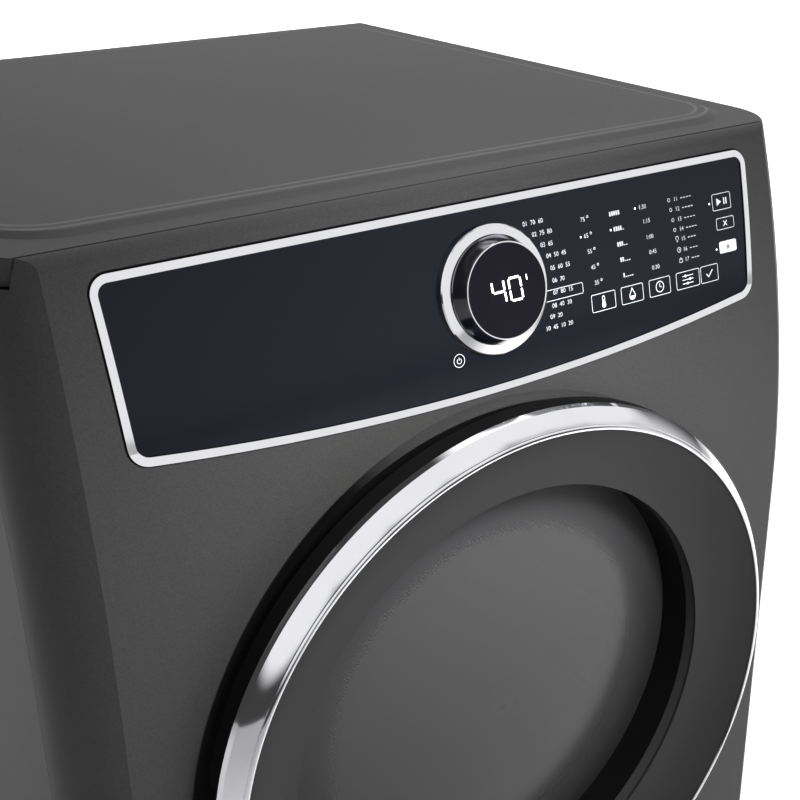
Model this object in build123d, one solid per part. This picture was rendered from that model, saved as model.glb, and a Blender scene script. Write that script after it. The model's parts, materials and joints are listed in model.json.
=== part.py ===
from build123d import *
import math
import os

# Cabinet, in millimetres. Depths are counted back from the flat front face.
cabinet_height = 965.0
cabinet_width = 686.0
cabinet_depth = 736.0
door_reach = 47.0
outlet_reach = 30.0
sheet = 1.2
seam_gap = 0.6
top_seam_gap = 2.2
flange_width = 16.0
skirt_bottom = 24.0
fit_gap = 0.5
running_gap = 0.05
cut_past = 1.0

# Front panel: flat below, leaning back along an arc behind the console
lean_radius = 1050.0
lean_start = 642.2
lean_sweep = 20.0
wrap_width = 35.0
wrap_depth = 62.0
top_roll = 12.0
seam_depth = 59.4
seat_radius = 262.0

# Top panel with its raised field
top_rise = 2.5
top_skirt = 18.0
field_margin = 20.9
field_slope = 9.2
field_corner = 55.0

# Base and feet
base_floor = 1.5
base_wall = 40.0
base_tab_inset = 61.8
base_tab_depth = 34.0
foot_side_inset = 57.0
foot_inset = 112.0
foot_pad_radius = 24.0
foot_pad_height = 9.0
foot_pad_edge = 2.0
foot_stem_radius = 5.0
foot_stem_top = 52.0
foot_boss_radius = 12.0
foot_boss_height = 16.0

# Console outline seen from the front
console_top = 947.2
console_inset = 26.0
console_taper = 5.2
console_end_drop = 117.9
console_mid_drop = 137.1
console_top_corner = 12.5
console_low_corner = 15.0
console_least_corner = 2.0
console_shadow_gap = 1.2
trim_width = 5.2
trim_proud = 1.2
trim_slot = 0.3
fascia_thickness = 3.0
housing_lip = 6.0
housing_ledge = 5.4
housing_wall = 2.5
housing_ledge_thickness = 2.0
housing_depth = 30.0

# Selector knob with the display in its middle
knob_x = 12.0
knob_drop = 63.2
bezel_radius = 47.6
bezel_inner_radius = 40.3
bezel_proud = 4.6
bezel_outer_edge = 4.0
bezel_chamfer = 0.8
bezel_spigot = 2.6
bezel_depth = 4.6
knob_gap = 0.5
knob_top_radius = 35.7
knob_proud = 18.0
knob_rim = 1.3
knob_skirt = 6.4
knob_flange = 1.4
lens_gap = 0.5
lens_recess = 0.5
lens_thickness = 1.6
post_radius = 26.0

# Keys seen from the front. A row runs left from the console's right end: each key's width and the
# gap on its right. A column hangs from the console's top: width, height, inset and the gap above.
key_gap = 0.35
key_corner = 1.6
key_foot = 1.6
key_foot_lap = 1.2
row_key_drop = 85.1
row_key_tall = 14.2
row_keys = {
    "select_key": (20.4, 42.2),
    "options_key": (26.4, 1.0),
    "dry_time_key": (23.4, 6.2),
    "dry_level_key": (23.7, 5.95),
    "temp_key": (24.9, 5.5),
}
column_keys = {
    "start_key": (21.6, 13.6, 20.6, 31.0),
    "cancel_key": (20.8, 9.9, 19.2, 5.75),
    "favourite_key": (19.4, 9.5, 19.0, 9.2),
}
power_key_radius = 5.2
power_key_side = 36.9
power_key_drop = 44.0

# Control board inside the console
board_width = 440.0
board_tall = 64.0
board_thickness = 1.6
board_depth = 14.0
board_chips = 5
board_chip_width = 22.0
board_chip_tall = 15.4
board_chip_height = 3.7

# Door: radii from the door centre, depths negative in front of the flat face
door_height = 543.3
door_ring_radius = 267.0
door_ring_back = 28.0
door_lip_radius = 251.7
door_ring_thickness = 3.4
door_ring_bulge = 0.7
door_ring_inner = 5.4
door_bead_width = 4.4
door_groove_width = 0.9
door_groove_depth = 0.9
door_wall_radius = 265.0
door_back_gap = 2.0
door_back_chamfer = 11.0
door_wall = 3.0
door_face_rise = 24.0
door_face_sag = 3.2
door_face_thickness = 2.6
recess_radius = 198.0
recess_depth = 18.0
glass_rim = 6.0
glass_dome = 24.0
glass_thickness = 4.0
liner_thickness = 3.0
liner_plug_radius = 214.0
liner_plug_depth = 26.0
liner_window_radius = 188.0
gasket_inner = 227.5
gasket_outer = 234.0
layer_gap = 0.15

# Door hinge on the right, catch and finger pocket on the left
hinge_x = 256.0
hinge_front = 20.0
hinge_pin_radius = 4.0
hinge_knuckle_radius = 7.0
hinge_knuckle_height = 9.0
hinge_spacing = 60.0
hinge_pin_length = 92.0
hinge_post_wall = 5.0
hinge_plate_thickness = 3.0
hinge_plate_width = 58.0
hinge_plate_near = 16.2
hinge_plate_height = 150.0
hinge_pocket_gap = 1.4
hinge_neck = 7.0
strike_x = -243.0
strike_width = 5.0
strike_height = 24.0
strike_reach = 15.0
strike_slot_gap = 3.0
strike_bar = 3.0
catch_wall = 3.0
catch_depth = 24.0
pocket_height = 110.0
pocket_front = 25.0
pocket_inner_x = 236.0

# Door opening, bulkheads and drum on one axis
tunnel_radius = 224.0
tunnel_wall = 2.5
tunnel_end = 100.0
bulkhead_bottom = 262.0
bulkhead_top = 800.0
drum_radius = 320.0
drum_wall = 1.2
drum_front = 86.0
drum_rear_gap = 6.0
drum_lip_length = 13.0
felt_thickness = 15.0
felt_gap = 0.5
felt_length = 9.0
drum_bead = 2.4
baffle_height = 66.0
baffle_base = 84.0
baffle_crest = 16.0
baffle_front = 120.0
baffle_rear_gap = 50.0
baffle_wall = 3.0
baffle_rake = 46.0
rear_plate_gap = 38.8
rear_plate_inset = 23.8
rear_plate_bottom = 206.0
rear_plate_top = 880.0
rear_ring_radius = 304.0
rear_ring_length = 22.0
vent_hole_radius = 6.5
vent_hole_pitch = 21.0
vent_columns = 7
vent_rows = 11
vent_x = 110.0
vent_height = 560.0
lamp_x = -150.0
lamp_height = 735.0
lamp_radius = 19.0
lamp_dome = 7.0

# Rear support rollers
roller_radius = 30.0
roller_width = 26.0
roller_tyre = 6.0
roller_hub_radius = 12.0
roller_dish = 7.8
roller_angle = 33.0
roller_axle_radius = 6.0
roller_drum_gap = 0.35
roller_rear_gap = 8.0
axle_nose = 5.0
axle_collar_radius = 11.0

# Drive: motor with belt pulley and blower on one shaft
motor_x = 74.0
motor_height = 126.0
motor_radius = 56.0
motor_front = 205.0
motor_rear = 335.0
motor_bell = 18.0
motor_bell_radius = 44.0
motor_cradle_width = 96.0
motor_cradle_length = 26.0
shaft_radius = 6.0
shaft_front = 92.0
shaft_rear = 392.0
pulley_radius = 9.5
pulley_flange = 3.0
belt_depth = 372.0
belt_width = 8.0
belt_thickness = 2.4
belt_gap = 0.35
flange_rise = 4.0
idler_x = -8.0
idler_height = 176.0
idler_radius = 22.0
idler_bore = 5.0
idler_flange = 3.0
idler_pivot_x = 24.0
idler_pivot_height = 92.0
idler_arm_width = 20.0
idler_arm_thickness = 4.0
idler_pivot_radius = 6.0

# Blower and air path
blower_radius = 72.0
blower_front = 76.0
blower_rear = 118.0
blower_plate = 2.0
blower_eye_radius = 50.0
blower_blades = 32
blower_hub_radius = 13.0
blower_blade_thickness = 1.4
blower_blade_lead = 9.0
blower_blade_bow = 2.7
volute_radius = 80.0
volute_wall = 2.0
volute_front = 66.0
volute_rear = 126.0
exhaust_x = -64.0
exhaust_height = 104.0
collar_radius = 50.4
duct_radius = 51.6
duct_wall = 0.9
volute_outlet_half = 55.0
duct_half = 112.0
duct_front = 34.0
duct_lift = 6.0
duct_wall_thickness = 2.0
platform_thickness = 3.0
filter_width = 204.0
filter_thickness = 20.0
filter_height = 226.0
filter_cap = 7.0
filter_cap_lap = 4.0
filter_grip = 82.0
filter_wall = 2.4
filter_columns = 10
filter_rows = 11
filter_bar = 2.0
filter_slot_gap = 0.8
moisture_bar_width = 3.0
moisture_bar_length = 130.0
moisture_bar_proud = 1.6

# Heater, mains and water at the back
heater_left = 24.0
heater_right = 206.0
heater_bottom = 420.0
heater_top = 700.0
coil_wire = 2.2
coil_runs = 7
coil_margin = 24.0
coil_depth = 16.0
cord_plate_inset = 107.0
cord_plate_height = 166.0
cord_plate_width = 92.0
cord_plate_tall = 76.0
cord_hole_radius = 14.3
cord_plate_lap = 10.0
valve_inset = 107.0
valve_height = 150.0
valve_radius = 13.2
valve_neck_radius = 13.6
valve_bore = 8.0
valve_reach = 20.0
valve_body_width = 44.0
valve_body_tall = 40.0
valve_body_depth = 46.0
valve_flange_radius = 21.0
louvre_count = 8
louvre_width = 150.0
louvre_tall = 6.0
louvre_pitch = 16.0
louvre_height = 830.0

# Values worked out from the sizes above
total_depth = door_reach + cabinet_depth + outlet_reach
front_face_y = door_reach - total_depth / 2
side_half = cabinet_width / 2
inner_half = side_half - sheet
face_half = side_half - wrap_width
console_top_half = face_half - console_inset
console_low_half = console_top_half - console_taper
console_end_height = console_top - console_end_drop
console_mid_height = console_top - console_mid_drop
knob_height = console_top - knob_drop
power_key_x = knob_x - power_key_side
power_key_height = knob_height - power_key_drop
base_tab_half = inner_half - base_tab_inset
foot_x = side_half - foot_side_inset
cord_plate_x = side_half - cord_plate_inset
valve_x = valve_inset - side_half
border_height = cabinet_height - top_rise
side_top = border_height - top_skirt - seam_gap
flange_front = wrap_depth + seam_gap
panel_inside = cabinet_depth - sheet
rear_plate_depth = panel_inside - rear_plate_gap
rear_plate_half = inner_half - rear_plate_inset
drum_rear = rear_plate_depth - drum_rear_gap
baffle_rear = drum_rear - baffle_rear_gap
tunnel_outer = tunnel_radius + tunnel_wall
bulkhead_depth = flange_front + sheet
lip_radius = tunnel_outer + felt_thickness + felt_gap
drum_inner = drum_radius - drum_wall
base_underside = skirt_bottom + sheet
base_top = base_underside + base_floor
duct_bottom = base_underside + base_wall + duct_lift
wrap_radius = (wrap_width ** 2 + wrap_depth ** 2) / (2 * wrap_width)
platform_height = door_height - math.sqrt(tunnel_radius ** 2 - duct_half ** 2)
duct_rear = bulkhead_depth + sheet
filter_depth = (duct_front + duct_rear) / 2
roller_reach = drum_radius + roller_radius + roller_drum_gap
roller_x = roller_reach * math.sin(math.radians(roller_angle))
roller_height = door_height - roller_reach * math.cos(math.radians(roller_angle))
roller_rear = rear_plate_depth - roller_rear_gap
ring_lip = -door_reach
glass_front = recess_depth
drum_axis = Axis((0, 0, door_height), (0, 1, 0))


def at_depth(depth):
    return front_face_y + depth


def lean_depth(height, inset=0.0):
    rise = max(height - lean_start, 0.0)
    return lean_radius - math.sqrt((lean_radius - inset) ** 2 - rise ** 2)


def solid_box(x_low, x_high, depth_low, depth_high, z_low, z_high):
    size = Box(x_high - x_low, depth_high - depth_low, z_high - z_low)
    middle = ((x_low + x_high) / 2, at_depth((depth_low + depth_high) / 2), (z_low + z_high) / 2)
    return Pos(*middle) * size


def rod(x, height, radius, depth_low, depth_high):
    """Round bar along the depth of the cabinet."""
    bar = Rot(90, 0, 0) * Cylinder(radius, depth_high - depth_low)
    return Pos(x, at_depth((depth_low + depth_high) / 2), height) * bar


def turned(edges):
    """Revolve a closed half section, radius across and depth back, about the drum axis."""
    section = Pos(0, at_depth(0), door_height) * make_face(edges)
    return revolve(section, drum_axis)


def turned_corners(*corners):
    return turned(Polyline(*corners, close=True).edges())


def front_sketch(sketch, depth_low, depth_high):
    """Extrude a sketch drawn as seen from the front between two depths."""
    back = Plane.XZ.offset(-at_depth(depth_high))
    return extrude(back * sketch, depth_high - depth_low)


def front_lean_axis():
    return Axis((0, at_depth(lean_radius), lean_start), (-1, 0, 0))


def curved_layer(front, back):
    """Layer of the leaning front between two offsets, measured inwards from its skin."""
    plan = Pos(0, at_depth((front + back) / 2), lean_start) * Rectangle(cabinet_width, back - front)
    return revolve(plan, front_lean_axis(), lean_sweep)


def console_plane(x, height):
    """Plane touching the leaning front, its normal pointing out of the cabinet."""
    tilt = math.asin((height - lean_start) / lean_radius)
    origin = (x, at_depth(lean_depth(height)), height)
    return Plane(origin, x_dir=(1, 0, 0), z_dir=(0, -math.cos(tilt), math.sin(tilt)))


def console_outline(inset):
    """Console outline seen from the front, drawn in by the inset."""
    top = console_top - inset
    end = console_end_height + inset
    upper = console_top_half - inset
    lower = console_low_half - inset
    edges = [
        Line((-upper, top), (upper, top)),
        Line((upper, top), (lower, end)),
        ThreePointArc((lower, end), (0, console_mid_height + inset), (-lower, end)),
        Line((-lower, end), (-upper, top)),
    ]
    face = make_face(edges)
    face = fillet(face.vertices().group_by(Axis.Y)[-1], max(console_top_corner - inset, console_least_corner))
    return fillet(face.vertices().group_by(Axis.Y)[0], max(console_low_corner - inset, console_least_corner))


def console_prism(inset):
    return front_sketch(console_outline(inset), -wrap_depth, wrap_depth * 2)


def wrap_plan(inset, tail):
    """Plan of the wrapped front drawn in by a wall thickness, carried straight back by the tail."""
    side = side_half - inset
    centre = side_half - wrap_radius
    edge = centre + math.sqrt((wrap_radius - inset) ** 2 - (wrap_depth - inset) ** 2)
    nose = at_depth(inset)
    rear = at_depth(wrap_depth)
    edges = [
        Line((-edge, nose), (edge, nose)),
        TangentArc((side, rear), (edge, nose), tangent=(0, -1)),
        Line((side, rear), (side, rear + tail)),
        Line((side, rear + tail), (-side, rear + tail)),
        Line((-side, rear + tail), (-side, rear)),
        TangentArc((-side, rear), (-edge, nose), tangent=(0, -1)),
    ]
    return make_face(edges)


def front_block(inset, tail):
    """Filled form of the front: straight below, turned back about the lean axis above."""
    bottom = skirt_bottom + inset
    top = border_height - inset
    plan = wrap_plan(inset, tail)
    lower = extrude(Pos(0, 0, bottom) * plan, lean_start - bottom)
    upper = revolve(Pos(0, 0, lean_start) * plan, front_lean_axis(), lean_sweep)
    block = lower + upper
    block -= solid_box(-cabinet_width, cabinet_width, -wrap_depth, cabinet_depth, top, top * 2)
    ridge = block.edges().filter_by(Axis.X).group_by(Axis.Z)[-1].sort_by(Axis.Y)[0]
    return fillet(ridge, top_roll - inset)


def hinge_heights():
    return [door_height - hinge_spacing / 2, door_height + hinge_spacing / 2]


def front_panel():
    panel = front_block(0.0, sheet) - front_block(sheet, sheet * 8)
    panel -= solid_box(-cabinet_width, cabinet_width, wrap_depth, wrap_depth * 2, 0, lean_start)
    rear_edge = revolve(
        Pos(0, at_depth(wrap_depth * 1.5), lean_start) * Rectangle(cabinet_width * 2, wrap_depth),
        front_lean_axis(), lean_sweep)
    panel -= rear_edge
    top_cut = seam_depth - top_seam_gap
    panel -= solid_box(-cabinet_width, cabinet_width, top_cut, cabinet_depth, side_top, cabinet_height)
    panel -= console_prism(-console_shadow_gap)
    panel -= rod(0, door_height, seat_radius, -wrap_depth, wrap_depth)
    panel += door_seat()
    half_slot = hinge_neck / 2 + seam_gap
    half_tall = hinge_knuckle_height / 2 + seam_gap
    for height in hinge_heights():
        panel -= solid_box(hinge_x - half_slot, hinge_x + half_slot, -sheet, sheet * 2,
                           height - half_tall, height + half_tall)
    half_slot = strike_width / 2 + strike_slot_gap
    half_tall = strike_height / 2 + strike_slot_gap
    panel -= solid_box(strike_x - half_slot, strike_x + half_slot, -sheet, sheet * 2,
                       door_height - half_tall, door_height + half_tall)
    return panel


def door_seat():
    """Flat pressed seat round the opening, with a wall back to the leaning skin above."""
    seat = turned_corners((tunnel_radius, 0), (seat_radius, 0), (seat_radius, wrap_depth),
                          (seat_radius - sheet, wrap_depth), (seat_radius - sheet, sheet),
                          (tunnel_radius, sheet))
    wall_room = wrap_plan(sheet, wrap_depth)
    lower = extrude(Pos(0, 0, skirt_bottom) * wall_room, lean_start - skirt_bottom)
    upper = revolve(Pos(0, 0, lean_start) * wall_room, front_lean_axis(), lean_sweep)
    flat = turned_corners((tunnel_radius, 0), (seat_radius, 0), (seat_radius, sheet), (tunnel_radius, sheet))
    return seat - lower - upper + flat


def top_plan(inset):
    """Plan of the top panel, its front corners following the wrapped front."""
    front = at_depth(lean_depth(border_height))
    wrap_end = at_depth(lean_depth(border_height, wrap_depth))
    rear = at_depth(cabinet_depth - inset)
    side = side_half - inset
    edges = [
        Line((-face_half, front), (face_half, front)),
        TangentArc((side, wrap_end), (face_half, front), tangent=(0, -1)),
        Line((side, wrap_end), (side, rear)),
        Line((side, rear), (-side, rear)),
        Line((-side, rear), (-side, wrap_end)),
        TangentArc((-side, wrap_end), (-face_half, front), tangent=(0, -1)),
    ]
    length = cabinet_depth - seam_depth - inset
    keep = Pos(0, at_depth(seam_depth + inset) + length / 2) * Rectangle(cabinet_width * 2, length)
    return make_face(edges) & keep


def field_outline(margin, corner):
    length = cabinet_depth - seam_depth - 2 * margin
    return RectangleRounded(cabinet_width - 2 * margin, length, corner)


def top_block(inset):
    """Filled form of the top panel: skirted border and a raised field with sloped edges."""
    border = border_height - inset
    low = border_height - top_skirt - inset
    block = extrude(Pos(0, 0, low) * top_plan(inset), border - low)
    middle = at_depth((cabinet_depth + seam_depth) / 2)
    foot = Pos(0, middle, border) * field_outline(field_margin, field_corner)
    crest_margin = field_margin + field_slope
    crest = Pos(0, middle, border + top_rise) * field_outline(crest_margin, field_corner - field_slope)
    return block + loft([foot.face(), crest.face()], ruled=True)


def top_panel():
    return top_block(0.0) - top_block(sheet)


def side_outline(inset):
    """Side panel seen from the right, its front edge following the lean."""
    low = skirt_bottom + inset
    high = side_top - inset
    front = flange_front + inset
    rear = at_depth(panel_inside - inset)
    lean_top = at_depth(lean_depth(high, front))
    middle = (lean_start + high) / 2
    lean_mid = at_depth(lean_depth(middle, front))
    nose = at_depth(front)
    edges = [
        Line((nose, low), (nose, lean_start)),
        ThreePointArc((nose, lean_start), (lean_mid, middle), (lean_top, high)),
        Line((lean_top, high), (rear, high)),
        Line((rear, high), (rear, low)),
        Line((rear, low), (nose, low)),
    ]
    return make_face(edges)


def side_panel(side):
    """Sheet panel with a return flange folded in on all four edges."""
    outer = extrude(Plane.YZ * side_outline(0.0), flange_width)
    pan = outer - Pos(sheet, 0, 0) * extrude(Plane.YZ * side_outline(sheet), flange_width)
    placed = Pos(-side_half, 0, 0) * pan
    return placed if side < 0 else mirror(placed, Plane.YZ)


def rear_panel():
    panel = solid_box(-side_half, side_half, panel_inside, cabinet_depth, skirt_bottom, side_top)
    inside = panel_inside - sheet
    outside = cabinet_depth + sheet
    panel -= rod(exhaust_x, exhaust_height, duct_radius + fit_gap, inside, outside)
    panel -= rod(valve_x, valve_height, valve_neck_radius + fit_gap, inside, outside)
    half_wide = cord_plate_width / 2 - cord_plate_lap
    half_tall = cord_plate_tall / 2 - cord_plate_lap
    panel -= solid_box(cord_plate_x - half_wide, cord_plate_x + half_wide, inside, outside,
                       cord_plate_height - half_tall, cord_plate_height + half_tall)
    slot = SlotOverall(louvre_width, louvre_tall)
    for row in range(louvre_count):
        for side in (-1, 1):
            place = Pos(side * side_half / 2, louvre_height - row * louvre_pitch)
            panel -= front_sketch(place * slot, inside, outside)
    return panel


def foot_places():
    rear = cabinet_depth - foot_inset
    return {
        "front_left_foot": (-foot_x, foot_inset),
        "front_right_foot": (foot_x, foot_inset),
        "rear_left_foot": (-foot_x, rear),
        "rear_right_foot": (foot_x, rear),
    }


def base_pan():
    front = flange_front + sheet
    rear = panel_inside - sheet
    pan = solid_box(-inner_half, inner_half, front, rear, base_underside, base_underside + base_wall)
    pan -= solid_box(-inner_half + base_floor, inner_half - base_floor, front + base_floor,
                     rear - base_floor, base_top, base_underside + base_wall * 2)
    pan += solid_box(-base_tab_half, base_tab_half, wrap_depth - base_tab_depth, front,
                     base_underside, base_top)
    for x, depth in foot_places().values():
        boss = Cylinder(foot_boss_radius, foot_boss_height, align=(Align.CENTER, Align.CENTER, Align.MIN))
        pan += Pos(x, at_depth(depth), base_underside) * boss
        pan -= Pos(x, at_depth(depth), base_top) * Cylinder(foot_stem_radius + running_gap, base_wall * 2)
    pan -= rod(exhaust_x, exhaust_height, duct_radius + fit_gap, rear - base_wall, rear + sheet)
    return pan + idler_stand()


def idler_stand():
    """Folded stand welded to the base floor, with the idler's pivot pin."""
    back = belt_depth + belt_width + belt_gap + idler_flange + fit_gap
    far = back + idler_arm_thickness + fit_gap
    half = idler_arm_width / 2
    plate = solid_box(idler_pivot_x - half, idler_pivot_x + half, far, far + sheet * 2, base_top,
                      idler_pivot_height + half)
    toe = solid_box(idler_pivot_x - half, idler_pivot_x + half, far, far + idler_arm_width * 2,
                    base_top, base_top + sheet * 2)
    return plate + toe + rod(idler_pivot_x, idler_pivot_height, idler_pivot_radius, back - fit_gap, far)


def foot(x, depth):
    """Levelling foot: a domed pad on a round stem."""
    shoulder = foot_pad_height * 2
    edges = [
        Line((0, 0), (foot_pad_radius - foot_pad_edge, 0)),
        Line((foot_pad_radius - foot_pad_edge, 0), (foot_pad_radius, foot_pad_edge)),
        Line((foot_pad_radius, foot_pad_edge), (foot_pad_radius, foot_pad_height)),
        Line((foot_pad_radius, foot_pad_height), (foot_stem_radius * 2, shoulder)),
        Line((foot_stem_radius * 2, shoulder), (foot_stem_radius, shoulder)),
        Line((foot_stem_radius, shoulder), (foot_stem_radius, foot_stem_top)),
        Line((foot_stem_radius, foot_stem_top), (0, foot_stem_top)),
        Line((0, foot_stem_top), (0, 0)),
    ]
    return Pos(x, at_depth(depth), 0) * revolve(Plane.XZ * make_face(edges), Axis.Z)


def console_trim():
    frame = console_prism(0.0) - console_prism(trim_width)
    band = frame & curved_layer(-trim_proud, sheet)
    return band


def console_fascia():
    plate = console_prism(trim_width + trim_slot) & curved_layer(0.0, fascia_thickness)
    place = console_plane(knob_x, knob_height)
    plate -= place * Cylinder(bezel_inner_radius + bezel_spigot + trim_slot, knob_proud * 2)
    for outline, x, height in key_outlines(key_gap):
        plate -= extrude(console_plane(x, height) * outline, fascia_thickness * 3, both=True)
    return plate


def console_housing():
    """Tub behind the fascia, with a lip behind the front panel and a ledge for the fascia."""
    seat = console_prism(-housing_lip) - console_prism(trim_width)
    ledge = console_prism(-housing_lip) - console_prism(trim_width + housing_ledge)
    wall_in = trim_width + housing_ledge
    wall = console_prism(wall_in - housing_wall) - console_prism(wall_in)
    back = console_prism(wall_in - housing_wall) & curved_layer(housing_depth - housing_wall, housing_depth)
    ledge_back = fascia_thickness + housing_ledge_thickness
    housing = seat & curved_layer(sheet, fascia_thickness)
    housing += ledge & curved_layer(fascia_thickness, ledge_back)
    housing += wall & curved_layer(ledge_back, housing_depth - housing_wall)
    housing += back
    return housing + display_tower()


def display_tower():
    """Hollow tower moulded on the housing that carries the display through the knob."""
    place = console_plane(knob_x, knob_height)
    top = knob_proud - lens_recess - lens_thickness
    length = top + housing_depth
    tube = Cylinder(post_radius, length) - Cylinder(post_radius - housing_wall, length)
    tower = place * Pos(0, 0, top - length / 2) * tube
    return tower - curved_layer(housing_depth, housing_depth * 2)


def knob_bezel():
    """Bright ring round the knob, with a spigot seated in the fascia."""
    place = console_plane(knob_x, knob_height)
    spigot = bezel_inner_radius + bezel_spigot
    shoulder = bezel_outer_edge - bezel_chamfer
    edges = [
        Line((bezel_inner_radius, -bezel_depth), (bezel_inner_radius, bezel_proud)),
        Line((bezel_inner_radius, bezel_proud), (bezel_radius - bezel_chamfer, bezel_outer_edge)),
        Line((bezel_radius - bezel_chamfer, bezel_outer_edge), (bezel_radius, shoulder)),
        Line((bezel_radius, shoulder), (bezel_radius, -fascia_thickness)),
        Line((bezel_radius, -fascia_thickness), (spigot, -fascia_thickness)),
        Line((spigot, -fascia_thickness), (spigot, -bezel_depth)),
        Line((spigot, -bezel_depth), (bezel_inner_radius, -bezel_depth)),
    ]
    ring = place * revolve(Plane.XZ * make_face(edges), Axis.Z)
    seat = place * (Cylinder(bezel_radius * 2, knob_proud * 2) - Cylinder(spigot, knob_proud * 2))
    return ring - (seat & curved_layer(0.0, fascia_thickness * 2))


def selector_knob():
    """Turning ring with a tapered side, a bright rim and a retaining flange."""
    place = console_plane(knob_x, knob_height)
    base = bezel_inner_radius - knob_gap
    bore = knob_top_radius - knob_rim
    flange = bezel_inner_radius + bezel_spigot
    low = -bezel_depth - knob_gap - knob_flange
    corners = [
        (bore, low), (flange, low), (flange, low + knob_flange), (base, low + knob_flange),
        (base, knob_skirt), (knob_top_radius, knob_proud - knob_rim),
        (knob_top_radius - knob_rim / 3, knob_proud), (bore, knob_proud),
    ]
    section = make_face(Polyline(*corners, close=True).edges())
    return place * revolve(Plane.XZ * section, Axis.Z)


def display_lens():
    place = console_plane(knob_x, knob_height)
    radius = knob_top_radius - knob_rim - lens_gap
    lens = Pos(0, 0, knob_proud - lens_recess - lens_thickness / 2) * Cylinder(radius, lens_thickness)
    return place * lens


def key_places():
    """Centre across, centre height, width and height of each rectangular key."""
    places = {}
    right = console_top_half
    height = console_top - row_key_drop - row_key_tall / 2
    for name, (width, space) in row_keys.items():
        right -= space
        places[name] = (right - width / 2, height, width, row_key_tall)
        right -= width
    above = console_top
    for name, (width, tall, inset, space) in column_keys.items():
        above -= space
        places[name] = (console_top_half - inset - width / 2, above - tall / 2, width, tall)
        above -= tall
    return places


def key_outlines(gap):
    """Every key's outline, grown by a gap, with the place of its centre."""
    outlines = []
    for x, height, width, tall in key_places().values():
        shape = RectangleRounded(width + 2 * gap, tall + 2 * gap, key_corner + gap)
        outlines.append((shape, x, height))
    outlines.append((Circle(power_key_radius + gap), power_key_x, power_key_height))
    return outlines


def key_cap(outline, x, height, width, tall):
    """Key flush with the fascia, with a lapping foot behind it."""
    place = console_plane(x, height)
    cap = extrude(place * outline, fascia_thickness * 2, both=True)
    cap &= curved_layer(0.0, fascia_thickness + key_gap)
    low = fascia_thickness + key_gap
    foot_box = Box(width, tall + 2 * key_foot_lap, key_foot)
    return cap + place * Pos(0, 0, -low - key_foot / 2) * foot_box


def keys():
    made = {}
    for name, (x, height, width, tall) in key_places().items():
        outline = RectangleRounded(width, tall, key_corner)
        made[name] = key_cap(outline, x, height, width, tall)
    side = power_key_radius * math.sqrt(2)
    made["power_key"] = key_cap(Circle(power_key_radius), power_key_x, power_key_height, side, side)
    return made


def control_board():
    place = console_plane(0, knob_height)
    post_seat = console_plane(knob_x, knob_height)
    board = Box(board_width, board_tall, board_thickness)
    board = Pos(0, 0, -board_depth - board_thickness / 2) * board
    chips = board
    for index in range(board_chips):
        x = (index - (board_chips - 1) / 2) * board_width / (board_chips + 1)
        chip = Box(board_chip_width, board_chip_tall, board_chip_height)
        chips += Pos(x, -board_tall / 4, -board_depth - board_thickness - board_chip_height / 2) * chip
    return place * chips - post_seat * Cylinder(post_radius + fit_gap, board_depth * 4)


def door_ring():
    """Bright bevelled ring: a bulged outer band, a groove and a bead round the inner lip."""
    outer = (door_ring_radius, -door_ring_back)
    lip = (door_lip_radius, ring_lip)
    run = math.hypot(outer[0] - lip[0], outer[1] - lip[1])
    along = ((lip[0] - outer[0]) / run, (lip[1] - outer[1]) / run)
    across = (-along[1], along[0])

    def band_point(length, rise):
        return (outer[0] + along[0] * length + across[0] * rise,
                outer[1] + along[1] * length + across[1] * rise)

    band = run - door_bead_width
    bead_start = band + door_groove_width
    middle = band_point(band / 2, door_ring_bulge)
    inner_lip = (lip[0] - door_ring_thickness / 2, lip[1] + door_ring_thickness / 2)
    inner = (inner_lip[0], lip[1] + door_ring_inner)
    foot_in = (outer[0] - door_ring_thickness, outer[1])
    edges = [
        ThreePointArc(outer, middle, band_point(band, 0)),
        Line(band_point(band, 0), band_point(band + door_groove_width / 2, -door_groove_depth)),
        Line(band_point(band + door_groove_width / 2, -door_groove_depth), band_point(bead_start, 0)),
        ThreePointArc(band_point(bead_start, 0), lip, inner_lip),
        Line(inner_lip, inner),
        Line(inner, foot_in),
        Line(foot_in, outer),
    ]
    return turned(edges)


def face_rim():
    """Outer and inner ends of the dished face, as radius and depth."""
    outer = (door_lip_radius - door_ring_thickness / 2 - layer_gap, ring_lip + door_ring_thickness)
    inner = (recess_radius, ring_lip + door_face_rise)
    return outer, inner


def face_curve(shift):
    outer, inner = face_rim()
    start = (outer[0], outer[1] + shift)
    end = (inner[0], inner[1] + shift)
    middle = ((start[0] + end[0]) / 2, (start[1] + end[1]) / 2 + door_face_sag)
    return start, middle, end


def door_face():
    """Dished annulus between the ring and the window recess."""
    front = face_curve(0.0)
    back = face_curve(door_face_thickness)
    edges = [
        ThreePointArc(*front),
        Line(front[2], back[2]),
        ThreePointArc(*back),
        Line(back[0], front[0]),
    ]
    return turned(edges)


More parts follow.
